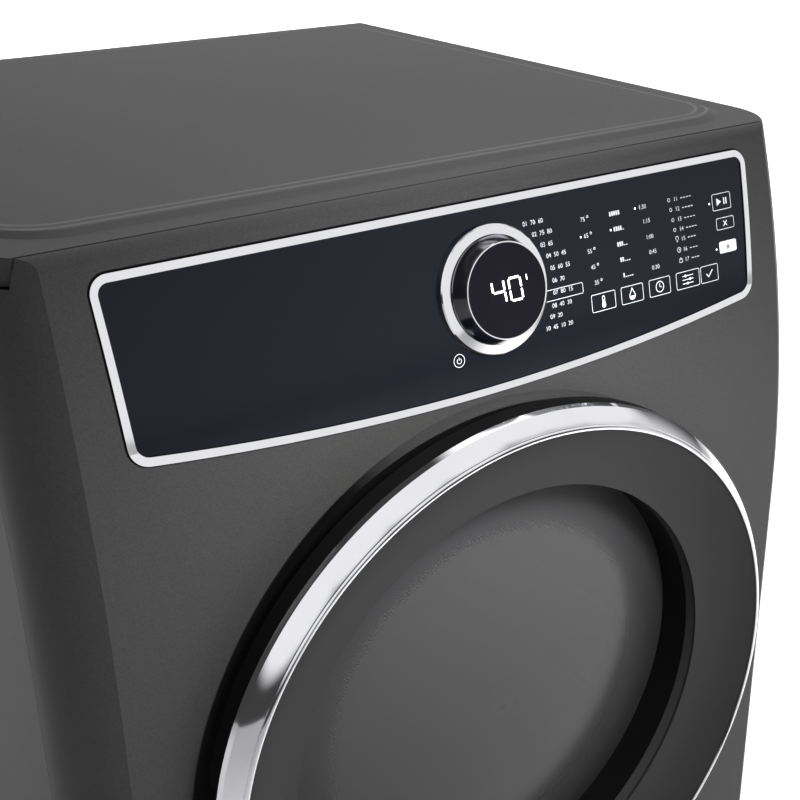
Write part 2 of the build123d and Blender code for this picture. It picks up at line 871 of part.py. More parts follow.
def door_shell():
    """Black body: outer wall, backing behind ring and face, and the window recess."""
    back = face_curve(door_face_thickness + layer_gap)
    inside = face_curve(door_face_thickness + layer_gap + door_wall)
    rear = -door_back_gap
    chamfer_depth = rear - door_back_chamfer
    step = door_wall_radius - door_wall
    shoulder = -door_ring_back + layer_gap
    ring_foot = door_ring_radius - door_ring_thickness
    edges = [
        Line((door_wall_radius, shoulder), (door_wall_radius, chamfer_depth)),
        Line((door_wall_radius, chamfer_depth), (door_wall_radius - door_back_chamfer, rear)),
        Line((door_wall_radius - door_back_chamfer, rear), (step - door_back_chamfer, rear)),
        Line((step - door_back_chamfer, rear), (step, chamfer_depth - layer_gap)),
        Line((step, chamfer_depth - layer_gap), (step, shoulder + door_wall)),
        Line((step, shoulder + door_wall), inside[0]),
        ThreePointArc(*inside),
        Line(inside[2], (recess_radius + door_wall, inside[2][1])),
        Line((recess_radius + door_wall, inside[2][1]), (recess_radius + door_wall, recess_depth)),
        Line((recess_radius + door_wall, recess_depth), (recess_radius, recess_depth)),
        Line((recess_radius, recess_depth), back[2]),
        ThreePointArc(*reversed(back)),
        Line(back[0], (ring_foot, shoulder)),
        Line((ring_foot, shoulder), (door_wall_radius, shoulder)),
    ]
    shell = turned(edges)
    post = Pos(hinge_x, at_depth(-hinge_front), door_height) * Cylinder(
        hinge_pin_radius + hinge_post_wall, hinge_pin_length)
    limit = turned_corners((recess_radius, rear), (step - door_back_chamfer, rear), (step, chamfer_depth),
                           (step, shoulder + door_wall), (recess_radius, shoulder + door_wall))
    shell += post & limit
    for height in hinge_heights():
        half = hinge_knuckle_height / 2 + seam_gap
        room = hinge_knuckle_radius + hinge_pocket_gap
        shell -= solid_box(hinge_x - room, door_ring_radius, -hinge_front - room, sheet,
                           height - half, height + half)
    shell -= hinge_pin()
    half = pocket_height / 2
    shell -= solid_box(-door_ring_radius, -pocket_inner_x, -pocket_front, sheet,
                       door_height - half, door_height + half)
    return shell


def door_glass():
    """Bowed pane with a flat rim behind the recess."""
    rim = recess_radius + glass_rim
    top = glass_front + layer_gap
    crown = top - glass_dome
    bow = (recess_radius ** 2 + glass_dome ** 2) / (2 * glass_dome)
    mid_radius = recess_radius / 2
    mid_drop = bow - math.sqrt(bow ** 2 - mid_radius ** 2)
    thick = glass_thickness
    edges = [
        ThreePointArc((-recess_radius, top), (0, crown), (recess_radius, top)).trim(0.5, 1.0),
        Line((recess_radius, top), (rim, top)),
        Line((rim, top), (rim, top + thick)),
        Line((rim, top + thick), (recess_radius, top + thick)),
        ThreePointArc((0, crown + thick), (mid_radius, crown + mid_drop + thick),
                      (recess_radius, top + thick)),
        Line((0, crown + thick), (0, crown)),
    ]
    return turned(edges)


def door_liner():
    """Inner cover with the plug that fits the opening and clamps the pane."""
    flange = door_wall_radius - door_wall - door_back_chamfer
    rear = -door_back_gap
    rim = recess_radius + glass_rim + fit_gap
    seat = glass_front + 2 * layer_gap + glass_thickness
    corners = [
        (flange - layer_gap, rear - liner_thickness), (flange - layer_gap, rear),
        (liner_plug_radius, rear), (liner_plug_radius, liner_plug_depth - liner_thickness),
        (liner_plug_radius - liner_thickness, liner_plug_depth), (liner_window_radius, liner_plug_depth),
        (liner_window_radius, seat), (rim, seat), (rim, rear - liner_thickness),
    ]
    liner = turned_corners(*corners)
    reach = hinge_pin_length / 2 + fit_gap
    half_post = hinge_pin_radius + hinge_post_wall + fit_gap
    liner -= solid_box(hinge_x - half_post, door_ring_radius, -door_reach, sheet,
                       door_height - reach, door_height + reach)
    return liner


def door_gasket():
    """Soft lip on the liner that meets the front panel round the opening."""
    rear = -door_back_gap
    tip = -fit_gap
    slope = rear - tip
    return turned_corners((gasket_inner, rear), (gasket_outer, rear), (gasket_outer + slope, tip),
                          (gasket_inner - slope, tip))


def door_strike():
    """Hooked strike plate on the liner."""
    rear = -door_back_gap
    half = strike_height / 2
    blade = solid_box(strike_x - strike_width / 2, strike_x + strike_width / 2, rear, strike_reach,
                      door_height - half, door_height + half)
    window_half = half - strike_bar
    window = solid_box(strike_x - strike_width, strike_x + strike_width, strike_reach - 3 * strike_bar,
                       strike_reach - strike_bar, door_height - window_half, door_height + window_half)
    return blade - window


def hinge_pin():
    return Pos(hinge_x, at_depth(-hinge_front), door_height) * Cylinder(hinge_pin_radius, hinge_pin_length)


def hinge_bracket():
    """Plate behind the front panel with two knuckles that come through it to the pin."""
    half = hinge_plate_height / 2
    low_x = hinge_x - hinge_plate_near
    bracket = solid_box(low_x, low_x + hinge_plate_width, sheet, sheet + hinge_plate_thickness,
                        door_height - half, door_height + half)
    for height in hinge_heights():
        neck = solid_box(hinge_x - hinge_neck / 2, hinge_x + hinge_neck / 2, -hinge_front,
                         sheet + hinge_plate_thickness / 2, height - hinge_knuckle_height / 2,
                         height + hinge_knuckle_height / 2)
        place = Pos(hinge_x, at_depth(-hinge_front), height)
        bracket += neck + place * Cylinder(hinge_knuckle_radius, hinge_knuckle_height)
        bracket -= place * Cylinder(hinge_pin_radius + running_gap, hinge_knuckle_height * 2)
    return bracket


def door_catch():
    """Open box behind the strike slot that holds the latch."""
    half_wide = strike_width / 2 + strike_slot_gap
    half_tall = strike_height / 2 + strike_slot_gap
    body = solid_box(strike_x - half_wide - catch_wall, strike_x + half_wide + catch_wall, sheet,
                     sheet + catch_depth, door_height - half_tall - catch_wall,
                     door_height + half_tall + catch_wall)
    room = solid_box(strike_x - half_wide, strike_x + half_wide, 0, sheet + catch_depth - catch_wall,
                     door_height - half_tall, door_height + half_tall)
    return body - room


def front_bulkhead():
    """Plate screwed to the side flanges, with the tunnel from the opening to the drum."""
    half = inner_half - sheet
    narrow = inner_half - flange_width - sheet
    rear = bulkhead_depth + sheet
    plate = solid_box(-half, half, bulkhead_depth, rear, bulkhead_bottom, lean_start)
    plate += solid_box(-narrow, narrow, bulkhead_depth, rear, lean_start, bulkhead_top)
    tunnel = rod(0, door_height, tunnel_outer, sheet, tunnel_end)
    bulkhead = plate + tunnel - rod(0, door_height, tunnel_radius, -sheet, tunnel_end * 2)
    bulkhead -= solid_box(-duct_half, duct_half, duct_front, duct_rear, bulkhead_bottom - sheet,
                          platform_height)
    return bulkhead


def drum_felts():
    """Felt rings that seal the drum at the front tunnel and at the rear ring."""
    start = drum_front + (drum_lip_length - felt_length) / 2
    front = turned_corners((tunnel_outer, start), (tunnel_outer + felt_thickness, start),
                           (tunnel_outer + felt_thickness, start + felt_length),
                           (tunnel_outer, start + felt_length))
    rear_start = drum_rear - felt_length - drum_bead
    outer = drum_inner - felt_gap
    rear = turned_corners((rear_ring_radius, rear_start), (outer, rear_start),
                          (outer, rear_start + felt_length), (rear_ring_radius, rear_start + felt_length))
    return Compound(children=[front, rear])


def drum_shell():
    """Open cylinder with an inward front wall, a lip round the opening and a stiffening bead."""
    wall = drum_wall
    belt_middle = belt_depth + belt_width / 2
    front_bead = drum_front + (belt_middle - drum_front) / 2
    rear_bead = (belt_middle + drum_rear) / 2
    inner = drum_inner
    corners = [
        (lip_radius, drum_front + drum_lip_length), (lip_radius, drum_front),
        (drum_radius - wall * 4, drum_front), (drum_radius, drum_front + wall * 4),
        (drum_radius, drum_rear), (inner, drum_rear), (inner, drum_front + wall * 4.6),
        (inner - wall * 3.6, drum_front + wall), (lip_radius + wall, drum_front + wall),
        (lip_radius + wall, drum_front + drum_lip_length),
    ]
    shell = turned_corners(*corners)
    for middle in (front_bead, rear_bead):
        low = (drum_radius - wall / 2, middle - drum_bead * 2)
        high = (drum_radius - wall / 2, middle + drum_bead * 2)
        shell += turned([Line(low, high), ThreePointArc(high, (drum_radius + drum_bead, middle), low)])
    return shell


def baffle_form(inset):
    """Lifter at the bottom of the drum, drawn in by a wall, with raked ends."""
    half = baffle_base / 2 - inset
    seat = drum_inner - inset
    foot = -math.sqrt(seat ** 2 - half ** 2)
    crest = baffle_height - drum_inner - inset
    crest_half = baffle_crest - inset
    edges = [
        ThreePointArc((-half, foot), (0, -seat), (half, foot)),
        Line((half, foot), (crest_half, crest)),
        ThreePointArc((crest_half, crest), (0, crest + crest_half / 2), (-crest_half, crest)),
        Line((-crest_half, crest), (-half, foot)),
    ]
    front = at_depth(baffle_front + inset)
    rear = at_depth(baffle_rear - inset)
    tip = crest + crest_half
    side = make_face(Polyline((front, -drum_radius), (rear, -drum_radius), (rear - baffle_rake, tip),
                              (front + baffle_rake, tip), close=True).edges())
    bar = front_sketch(make_face(edges), baffle_front, baffle_rear)
    return bar & extrude(Plane.YZ * side, baffle_base, both=True)


def drum_baffles():
    """Three hollow lifters on the inside of the drum."""
    lifter = baffle_form(0.0) - baffle_form(baffle_wall)
    turns = [Pos(0, 0, door_height) * Rot(0, angle, 0) * lifter for angle in (60, 180, 300)]
    return Compound(children=turns)


def rear_bulkhead():
    """Pressed pan behind the drum, with the felt ring and the hot-air holes."""
    pan = solid_box(-rear_plate_half, rear_plate_half, rear_plate_depth, panel_inside,
                    rear_plate_bottom, rear_plate_top)
    pan -= solid_box(-rear_plate_half + sheet, rear_plate_half - sheet, rear_plate_depth + sheet,
                     cabinet_depth, rear_plate_bottom + sheet, rear_plate_top - sheet)
    ring_front = rear_plate_depth - rear_ring_length
    ring = turned_corners((rear_ring_radius - sheet, ring_front), (rear_ring_radius, ring_front),
                          (rear_ring_radius, rear_plate_depth), (rear_ring_radius - sheet, rear_plate_depth))
    holes = Sketch() + [
        place * Circle(vent_hole_radius)
        for place in GridLocations(vent_hole_pitch, vent_hole_pitch, vent_columns, vent_rows)
    ]
    vents = front_sketch(Pos(vent_x, vent_height) * holes, rear_plate_depth - sheet,
                         rear_plate_depth + sheet * 2)
    return pan + ring - vents


def drum_lamp():
    """Domed lens of the drum light on the rear bulkhead."""
    bow = (lamp_radius ** 2 + lamp_dome ** 2) / (2 * lamp_dome)
    ball = Pos(0, 0, lamp_dome - bow) * Sphere(bow)
    lens = ball & Pos(0, 0, bow) * Cylinder(lamp_radius, bow * 2)
    return Pos(lamp_x, at_depth(rear_plate_depth), lamp_height) * Rot(90, 0, 0) * lens


def roller_axles():
    axles = []
    for side in (-1, 1):
        x = side * roller_x
        front = roller_rear - roller_width - axle_nose
        pin = rod(x, roller_height, roller_axle_radius, front, rear_plate_depth)
        collar = rod(x, roller_height, axle_collar_radius, roller_rear + fit_gap, rear_plate_depth)
        axles.append(pin + collar)
    return Compound(children=axles)


def roller(side):
    """Support roller with a grooved tyre and a bored hub."""
    front = roller_rear - roller_width
    wheel = rod(side * roller_x, roller_height, roller_radius, front, roller_rear)
    x = side * roller_x
    for low, high in ((front, front + roller_dish), (roller_rear - roller_dish, roller_rear)):
        groove = rod(x, roller_height, roller_radius - roller_tyre, low, high)
        wheel -= groove - rod(x, roller_height, roller_hub_radius, low, high)
    bore = roller_axle_radius + running_gap
    return wheel - rod(x, roller_height, bore, front - cut_past, roller_rear + cut_past)


def motor():
    """Motor can with end bells on a cradle from the base."""
    can = rod(motor_x, motor_height, motor_radius, motor_front, motor_rear)
    front_bell = rod(motor_x, motor_height, motor_bell_radius, motor_front - motor_bell, motor_front)
    rear_bell = rod(motor_x, motor_height, motor_bell_radius, motor_rear, motor_rear + motor_bell)
    body = can + front_bell + rear_bell
    half = motor_cradle_width / 2
    for start in (motor_front, motor_rear - motor_cradle_length):
        body += solid_box(motor_x - half, motor_x + half, start, start + motor_cradle_length,
                          base_top, motor_height)
    bore = shaft_radius + running_gap
    return body - rod(motor_x, motor_height, bore, motor_front - motor_bell * 2, motor_rear + motor_bell * 2)


def motor_shaft():
    """Shaft with the belt pulley at its rear end."""
    shaft = rod(motor_x, motor_height, shaft_radius, shaft_front, shaft_rear)
    low = belt_depth - belt_gap
    high = belt_depth + belt_width + belt_gap
    pulley = rod(motor_x, motor_height, pulley_radius, low - pulley_flange, high + pulley_flange)
    for start in (low - pulley_flange, high):
        pulley += rod(motor_x, motor_height, pulley_radius + flange_rise, start, start + pulley_flange)
    return shaft + pulley


def belt_loop(grow):
    """Outline of the belt round the drum, the motor pulley and the idler."""
    rounds = [
        Pos(0, door_height) * Circle(drum_radius + grow),
        Pos(motor_x, motor_height) * Circle(pulley_radius + grow),
        Pos(idler_x, idler_height) * Circle(idler_radius + grow),
    ]
    return make_hull([edge for shape in rounds for edge in shape.edges()])


def drum_belt():
    band = belt_loop(belt_gap + belt_thickness) - belt_loop(belt_gap)
    return front_sketch(band, belt_depth, belt_depth + belt_width)


def idler_pulley():
    low = belt_depth - belt_gap
    high = belt_depth + belt_width + belt_gap
    wheel = rod(idler_x, idler_height, idler_radius, low - idler_flange, high + idler_flange)
    for start in (low - idler_flange, high):
        wheel += rod(idler_x, idler_height, idler_radius + flange_rise, start, start + idler_flange)
    return wheel - rod(idler_x, idler_height, idler_bore + running_gap, low - belt_width, high + belt_width)


def idler_arm():
    """Arm behind the belt with the pulley's stub and a bored pivot end."""
    back = belt_depth + belt_width + belt_gap + idler_flange + fit_gap
    run = math.hypot(idler_x - idler_pivot_x, idler_height - idler_pivot_height)
    angle = math.degrees(math.atan2(idler_height - idler_pivot_height, idler_x - idler_pivot_x))
    middle = ((idler_x + idler_pivot_x) / 2, (idler_height + idler_pivot_height) / 2)
    bar = Pos(*middle) * Rot(0, 0, angle) * SlotCenterToCenter(run, idler_arm_width)
    arm = front_sketch(bar, back, back + idler_arm_thickness)
    front = belt_depth - belt_gap - idler_flange
    arm += rod(idler_x, idler_height, idler_bore, front, back)
    hole = idler_pivot_radius + running_gap
    return arm - rod(idler_pivot_x, idler_pivot_height, hole, back - cut_past,
                     back + idler_arm_thickness + cut_past)


def blower_blade(angle):
    """One forward-curved blade, bowed between the eye and the rim."""
    inner = blower_eye_radius
    outer = blower_radius - blower_blade_thickness / 2
    lead = math.radians(blower_blade_lead)
    bow = math.radians(blower_blade_bow)

    def polar(radius, turn):
        return (radius * math.cos(turn), radius * math.sin(turn))

    half = blower_blade_thickness / 2
    edges = []
    for shift in (-half, half):
        middle = polar((inner + outer) / 2, bow + shift / inner)
        edges.append(ThreePointArc(polar(inner, shift / inner), middle, polar(outer, lead + shift / outer)))
    caps = [Line(edges[0] @ 0, edges[1] @ 0), Line(edges[0] @ 1, edges[1] @ 1)]
    face = make_face(edges + caps)
    return Rot(0, 0, angle) * face


def blower_wheel():
    """Squirrel-cage wheel: back plate, hub, blades and front shroud ring."""
    place = Pos(motor_x, motor_height)
    blades = Sketch() + [blower_blade(360 / blower_blades * index) for index in range(blower_blades)]
    cage = front_sketch(place * blades, blower_front, blower_rear)
    cage += rod(motor_x, motor_height, blower_radius, blower_rear - blower_plate, blower_rear)
    rim = rod(motor_x, motor_height, blower_radius, blower_front, blower_front + blower_plate)
    cage += rim - rod(motor_x, motor_height, blower_eye_radius, blower_front - cut_past, blower_rear)
    cage += rod(motor_x, motor_height, blower_hub_radius, shaft_front, blower_rear)
    return cage - rod(motor_x, motor_height, shaft_radius, shaft_front - cut_past, blower_rear + cut_past)


def blower_shape(radius, grow):
    """Front view of the blower casing: round scroll and its outlet box."""
    left = exhaust_x - volute_outlet_half - grow
    low = exhaust_height - volute_outlet_half - grow
    high = exhaust_height + volute_outlet_half + grow
    outlet = Pos((left + motor_x) / 2, (low + high) / 2) * Rectangle(motor_x - left, high - low)
    return Pos(motor_x, motor_height) * Circle(radius + grow) + outlet


def blower_housing():
    outer = front_sketch(blower_shape(volute_radius, 0.0), volute_front, volute_rear)
    inner = front_sketch(blower_shape(volute_radius, -volute_wall), volute_front + volute_wall,
                         volute_rear - volute_wall)
    casing = outer - inner
    back = volute_rear - volute_wall * 2
    past = volute_rear + cut_past
    casing -= rod(motor_x, motor_height, blower_eye_radius, volute_front - cut_past,
                  volute_front + volute_wall * 2)
    casing -= rod(motor_x, motor_height, shaft_radius * 2, back, past)
    return casing - rod(exhaust_x, exhaust_height, collar_radius - duct_wall, back, past)


def exhaust_duct():
    """Pipe from the blower to the back, stepped down to the collar a hose slips over."""
    end = cabinet_depth + outlet_reach
    pipe = rod(exhaust_x, exhaust_height, duct_radius, volute_rear, cabinet_depth)
    pipe += rod(exhaust_x, exhaust_height, collar_radius, cabinet_depth, end)
    bore = collar_radius - duct_wall
    return pipe - rod(exhaust_x, exhaust_height, bore, volute_rear - cut_past, end + cut_past)


def lint_duct():
    """Flat duct below the opening that holds the lint filter, open to the blower at its back."""
    wall = duct_wall_thickness
    top = platform_height
    body = solid_box(-duct_half, duct_half, duct_front, duct_rear, duct_bottom, top)
    body -= solid_box(-duct_half + wall, duct_half - wall, duct_front + wall, duct_rear - wall,
                      duct_bottom + wall, top - platform_thickness)
    half = filter_width / 2 + filter_slot_gap
    half_deep = filter_thickness / 2 + filter_slot_gap
    body -= solid_box(-half, half, filter_depth - half_deep, filter_depth + half_deep,
                      top - platform_thickness * 2, top + cut_past)
    eye = blower_eye_radius - wall
    return body - rod(motor_x, motor_height, eye, duct_rear - wall * 2, duct_rear + cut_past)


def lint_filter():
    """Lift-out filter: slotted cap with a grip, and a frame of fine bars."""
    top = platform_height
    half = filter_width / 2
    deep = filter_thickness / 2
    cap_half = half + filter_cap_lap
    cap_deep = deep + filter_cap_lap / 2
    cap = solid_box(-cap_half, cap_half, filter_depth - cap_deep, filter_depth + cap_deep, top + fit_gap,
                    top + filter_cap)
    front = filter_depth - deep
    rear = filter_depth + deep
    bottom = top - filter_height
    body = solid_box(-half, half, front, rear, bottom, top + filter_cap)
    room = solid_box(-half + filter_wall, half - filter_wall, front + filter_bar, rear - filter_bar,
                     bottom + filter_wall, top + filter_cap * 2)
    pitch_x = (filter_width - 2 * filter_wall) / filter_columns
    pitch_z = (filter_height - 2 * filter_wall) / filter_rows
    gaps = Sketch() + [
        place * Rectangle(pitch_x - filter_bar, pitch_z - filter_bar)
        for place in GridLocations(pitch_x, pitch_z, filter_columns, filter_rows)
    ]
    middle = top - filter_height / 2
    through = front_sketch(Pos(0, middle) * gaps, front - cut_past, rear + cut_past)
    grip = solid_box(-filter_grip / 2, filter_grip / 2, front + filter_bar, rear - filter_bar,
                     top, top + filter_cap)
    return cap + body - room - through + grip


def moisture_bars():
    """Two metal bars that touch the load, on the platform in front of the drum."""
    half = moisture_bar_length / 2
    bars = []
    for depth in (duct_front + moisture_bar_width / 2, duct_rear - moisture_bar_width / 2):
        bars.append(solid_box(-half, half, depth - moisture_bar_width / 2, depth + moisture_bar_width / 2,
                              platform_height, platform_height + moisture_bar_proud))
    return Compound(children=bars)


def heater_housing():
    """Sheet box on the back of the rear bulkhead, open towards the hot-air holes."""
    front = rear_plate_depth + sheet
    rear = panel_inside - sheet * 2
    box = solid_box(heater_left, heater_right, front, rear, heater_bottom, heater_top)
    return box - solid_box(heater_left + sheet, heater_right - sheet, front - sheet, rear - sheet,
                           heater_bottom + sheet, heater_top - sheet)


def heating_coil():
    """Element wire laid to and fro across the heater box."""
    depth = at_depth(rear_plate_depth + sheet + coil_depth)
    left = heater_left + coil_margin
    right = heater_right - coil_margin
    step = (heater_top - heater_bottom - 2 * coil_margin) / (coil_runs - 1)
    points = []
    for index in range(coil_runs):
        height = heater_bottom + coil_margin + index * step
        ends = (left, right) if index % 2 == 0 else (right, left)
        points += [(ends[0], depth, height), (ends[1], depth, height)]
    points[0] = (heater_left + sheet, depth, heater_bottom + coil_margin)
    path = FilletPolyline(*points, radius=step / 2 - coil_wire)
    start = Plane(path @ 0, z_dir=path % 0)
    return sweep(start * Circle(coil_wire), path)


def cord_plate():
    """Plate over the mains opening with the hole for a cord grip."""
    half_wide = cord_plate_width / 2
    half_tall = cord_plate_tall / 2
    outside = cabinet_depth + sheet * 2
    plate = solid_box(cord_plate_x - half_wide, cord_plate_x + half_wide, cabinet_depth, outside,
                      cord_plate_height - half_tall, cord_plate_height + half_tall)
    return plate - rod(cord_plate_x, cord_plate_height, cord_hole_radius, cabinet_depth - cut_past,
                       outside + cut_past)


def water_valve():
    """Inlet valve on the rear panel with its hose stub outside."""
    body_rear = panel_inside - sheet * 2
    half = valve_body_width / 2
    tall = valve_body_tall / 2
    body = solid_box(valve_x - half, valve_x + half, body_rear - valve_body_depth, body_rear,
                     valve_height - tall, valve_height + tall)
    body += rod(valve_x, valve_height, valve_flange_radius, body_rear, panel_inside)
    body += rod(valve_x, valve_height, valve_neck_radius, panel_inside, cabinet_depth)
    body += rod(valve_x, valve_height, valve_radius, cabinet_depth, cabinet_depth + valve_reach)
    return body - rod(valve_x, valve_height, valve_bore, body_rear, cabinet_depth + valve_reach + cut_past)


def all_nodes():
    nodes = {
        "base_pan": base_pan(),
        "left_side_panel": side_panel(-1),
        "right_side_panel": side_panel(1),
        "rear_panel": rear_panel(),
        "top_panel": top_panel(),
        "front_panel": front_panel(),
        "console_trim": console_trim(),
        "console_fascia": console_fascia(),
        "console_housing": console_housing(),
        "knob_bezel": knob_bezel(),
        "selector_knob": selector_knob(),
        "display_lens": display_lens(),
        "control_board": control_board(),
        "door_ring": door_ring(),
        "door_face": door_face(),
        "door_shell": door_shell(),
        "door_glass": door_glass(),
        "door_liner": door_liner(),
        "door_gasket": door_gasket(),
        "door_strike": door_strike(),
        "hinge_pin": hinge_pin(),
        "hinge_bracket": hinge_bracket(),
        "door_catch": door_catch(),
        "front_bulkhead": front_bulkhead(),
        "rear_bulkhead": rear_bulkhead(),
        "drum_felts": drum_felts(),
        "drum_shell": drum_shell(),
        "drum_baffles": drum_baffles(),
        "drum_lamp": drum_lamp(),
        "roller_axles": roller_axles(),
        "left_roller": roller(-1),
        "right_roller": roller(1),
        "motor": motor(),
        "motor_shaft": motor_shaft(),
        "drum_belt": drum_belt(),
        "idler_arm": idler_arm(),
        "idler_pulley": idler_pulley(),
        "blower_wheel": blower_wheel(),
        "blower_housing": blower_housing(),
        "exhaust_duct": exhaust_duct(),
        "lint_duct": lint_duct(),
        "lint_filter": lint_filter(),
        "moisture_bars": moisture_bars(),
        "heater_housing": heater_housing(),
        "heating_coil": heating_coil(),
        "cord_plate": cord_plate(),
        "water_valve": water_valve(),
    }
    nodes.update(keys())
    for name, (x, depth) in foot_places().items():
        nodes[name] = foot(x, depth)
    return nodes


os.makedirs("parts", exist_ok=True)
for node_name, node_solid in all_nodes().items():
    export_step(node_solid, f"parts/{node_name}.step")
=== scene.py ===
import json
import math

import bmesh
import bpy
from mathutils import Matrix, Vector


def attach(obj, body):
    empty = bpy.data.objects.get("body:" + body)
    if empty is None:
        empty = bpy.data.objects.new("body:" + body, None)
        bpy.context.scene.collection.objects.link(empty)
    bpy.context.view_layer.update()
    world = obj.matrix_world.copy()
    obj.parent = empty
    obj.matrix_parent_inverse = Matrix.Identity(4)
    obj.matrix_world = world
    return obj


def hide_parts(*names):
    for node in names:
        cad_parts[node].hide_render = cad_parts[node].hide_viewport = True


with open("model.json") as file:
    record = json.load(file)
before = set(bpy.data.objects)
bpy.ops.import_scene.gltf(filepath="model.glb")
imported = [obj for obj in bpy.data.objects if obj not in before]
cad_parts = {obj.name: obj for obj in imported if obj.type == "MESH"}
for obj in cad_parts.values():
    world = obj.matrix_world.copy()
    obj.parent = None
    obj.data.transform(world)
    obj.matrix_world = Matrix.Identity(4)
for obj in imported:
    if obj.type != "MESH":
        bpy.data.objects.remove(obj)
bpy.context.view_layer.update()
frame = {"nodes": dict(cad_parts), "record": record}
nodes = frame["nodes"]
mm = 0.001
print("frame loaded:", len(nodes), "nodes")

# places of the model that the pieces below sit on, in millimetres
lean = {"faceY": -359.5, "start": 642.2, "radius": 1050.0}
dial = {"x": 12.0, "z": 884.0, "lensProud": 17.5}
door = {"z": 543.3}


def leanAt(z):  # the leaning front's slope at a height, and its face there
    sine = (z - lean["start"]) / lean["radius"]
    cosine = math.sqrt(1 - sine * sine)
    return sine, cosine, lean["faceY"] + lean["radius"] * (1 - cosine)


class Wire:  # a shader socket that takes part in sums
    def __init__(self, recipe, socket):
        self.recipe = recipe
        self.socket = socket

    def __add__(self, other):
        return self.recipe.maths("ADD", self, other)

    def __radd__(self, other):
        return self.recipe.maths("ADD", other, self)

    def __sub__(self, other):
        return self.recipe.maths("SUBTRACT", self, other)

    def __rsub__(self, other):
        return self.recipe.maths("SUBTRACT", other, self)

    def __mul__(self, other):
        return self.recipe.maths("MULTIPLY", self, other)

    def __rmul__(self, other):
        return self.recipe.maths("MULTIPLY", other, self)

    def __truediv__(self, other):
        return self.recipe.maths("DIVIDE", self, other)

    def __rtruediv__(self, other):
        return self.recipe.maths("DIVIDE", other, self)

    def __pow__(self, other):
        return self.recipe.maths("POWER", self, other)

    def __lt__(self, other):
        return self.recipe.maths("LESS_THAN", self, other)

    def __gt__(self, other):
        return self.recipe.maths("GREATER_THAN", self, other)


class Recipe:  # one material, or the sky, and the nodes in it
    def __init__(self, name, sky=False):
        self.material = bpy.data.worlds.new(name) if sky else bpy.data.materials.new(name)
        self.material.use_nodes = True
        self.tree = self.material.node_tree
        self.tree.nodes.clear()

    def node(self, kind, settings=None, sockets=None):
        made = self.tree.nodes.new(kind)
        for key, value in (settings or {}).items():
            setattr(made, key, value)
        for key, value in (sockets or {}).items():
            if isinstance(value, Wire):
                self.tree.links.new(value.socket, made.inputs[key])
            else:
                made.inputs[key].default_value = value
        return made

    def out(self, made, key=0):
        return Wire(self, made.outputs[key])

    def maths(self, operation, a, b=0.0):
        return self.out(self.node("ShaderNodeMath", {"operation": operation}, {0: a, 1: b}))

    def place(self, turn=(0, 0, 0), scale=(1, 1, 1), shift=(0, 0, 0)):
        coords = self.out(self.node("ShaderNodeTexCoord"), "Object")
        if turn == (0, 0, 0) and scale == (1, 1, 1) and shift == (0, 0, 0):
            return coords
        turned = self.node("ShaderNodeMapping", None,
                           {"Vector": coords, "Location": shift, "Rotation": turn, "Scale": scale})
        return self.out(turned)

    def axes(self, place):
        split = self.node("ShaderNodeSeparateXYZ", None, {0: place})
        return [self.out(split, index) for index in range(3)]

    def reach(self, across, up):  # distance from an axis
        return (across * across + up * up) ** 0.5

    def noise(self, place, scale, detail=2.0, rough=0.5):
        return self.out(self.node("ShaderNodeTexNoise", None,
                                  {"Vector": place, "Scale": scale, "Detail": detail, "Roughness": rough}))

    def cells(self, place, scale):
        made = self.node("ShaderNodeTexVoronoi", None, {"Vector": place, "Scale": scale})
        grey = self.node("ShaderNodeSeparateColor", None, {0: self.out(made, "Color")})
        return self.out(grey)

    def share(self, a, b, part):  # two patterns in one, the first with this part of the whole
        return a * part + b * (1.0 - part)

    def vary(self, pair, pattern):  # a value and what the pattern adds to it
        return pair[0] + pattern * pair[1]

    def blend(self, factor, a, b):
        made = self.node("ShaderNodeMix", {"data_type": "RGBA"}, {0: factor, 6: a, 7: b})
        return self.out(made, 2)

    def ease(self, value, low, high, start=0.0, end=1.0):
        made = self.node("ShaderNodeMapRange", {"interpolation_type": "SMOOTHSTEP"},
                         {"Value": value, "From Min": low, "From Max": high, "To Min": start, "To Max": end})
        return self.out(made)

    def bump(self, height, strength, distance):
        return self.out(self.node("ShaderNodeBump", None,
                                  {"Height": height, "Strength": strength, "Distance": distance}))

    def surface(self, sockets):
        shader = self.node("ShaderNodeBsdfPrincipled", None, sockets)
        end = self.node("ShaderNodeOutputMaterial")
        self.tree.links.new(shader.outputs[0], end.inputs[0])
        return self.material


def rgb(red, green, blue):
    return (red, green, blue, 1.0)


def grey(value):
    return rgb(value, value, value)


def toned(colour, factor):
    return rgb(*[min(value * factor, 1.0) for value in colour[:3]])


# finishes: scales are per metre, a pair gives a value and what a pattern adds to it, and "bump" its strength and depth

paintLook = {"deep": rgb(0.0215, 0.0215, 0.0212), "pale": rgb(0.0465, 0.0465, 0.046), "flakes": 1500.0, "cloud": 2.2,
             "peel": 260.0, "flakeShare": 0.62, "metal": (0.10, 0.08), "rough": (0.42, 0.10), "cloudRough": 0.04,
             "gloss": 0.22, "flakeBump": 0.3, "bump": (0.05, 0.0004)}
seatShadeLook = {"radius": 265.0, "x": -4.0, "drop": 5.0, "edge": 0.8, "shade": grey(0.002), "dull": 0.45}
bendHighlightLook = {"half": (322.1, 317.4), "y": 53.2, "corner": 55.0, "slope": 9.2, "bend": 2.6, "catch": 0.62,
             "light": rgb(0.135, 0.135, 0.133)}


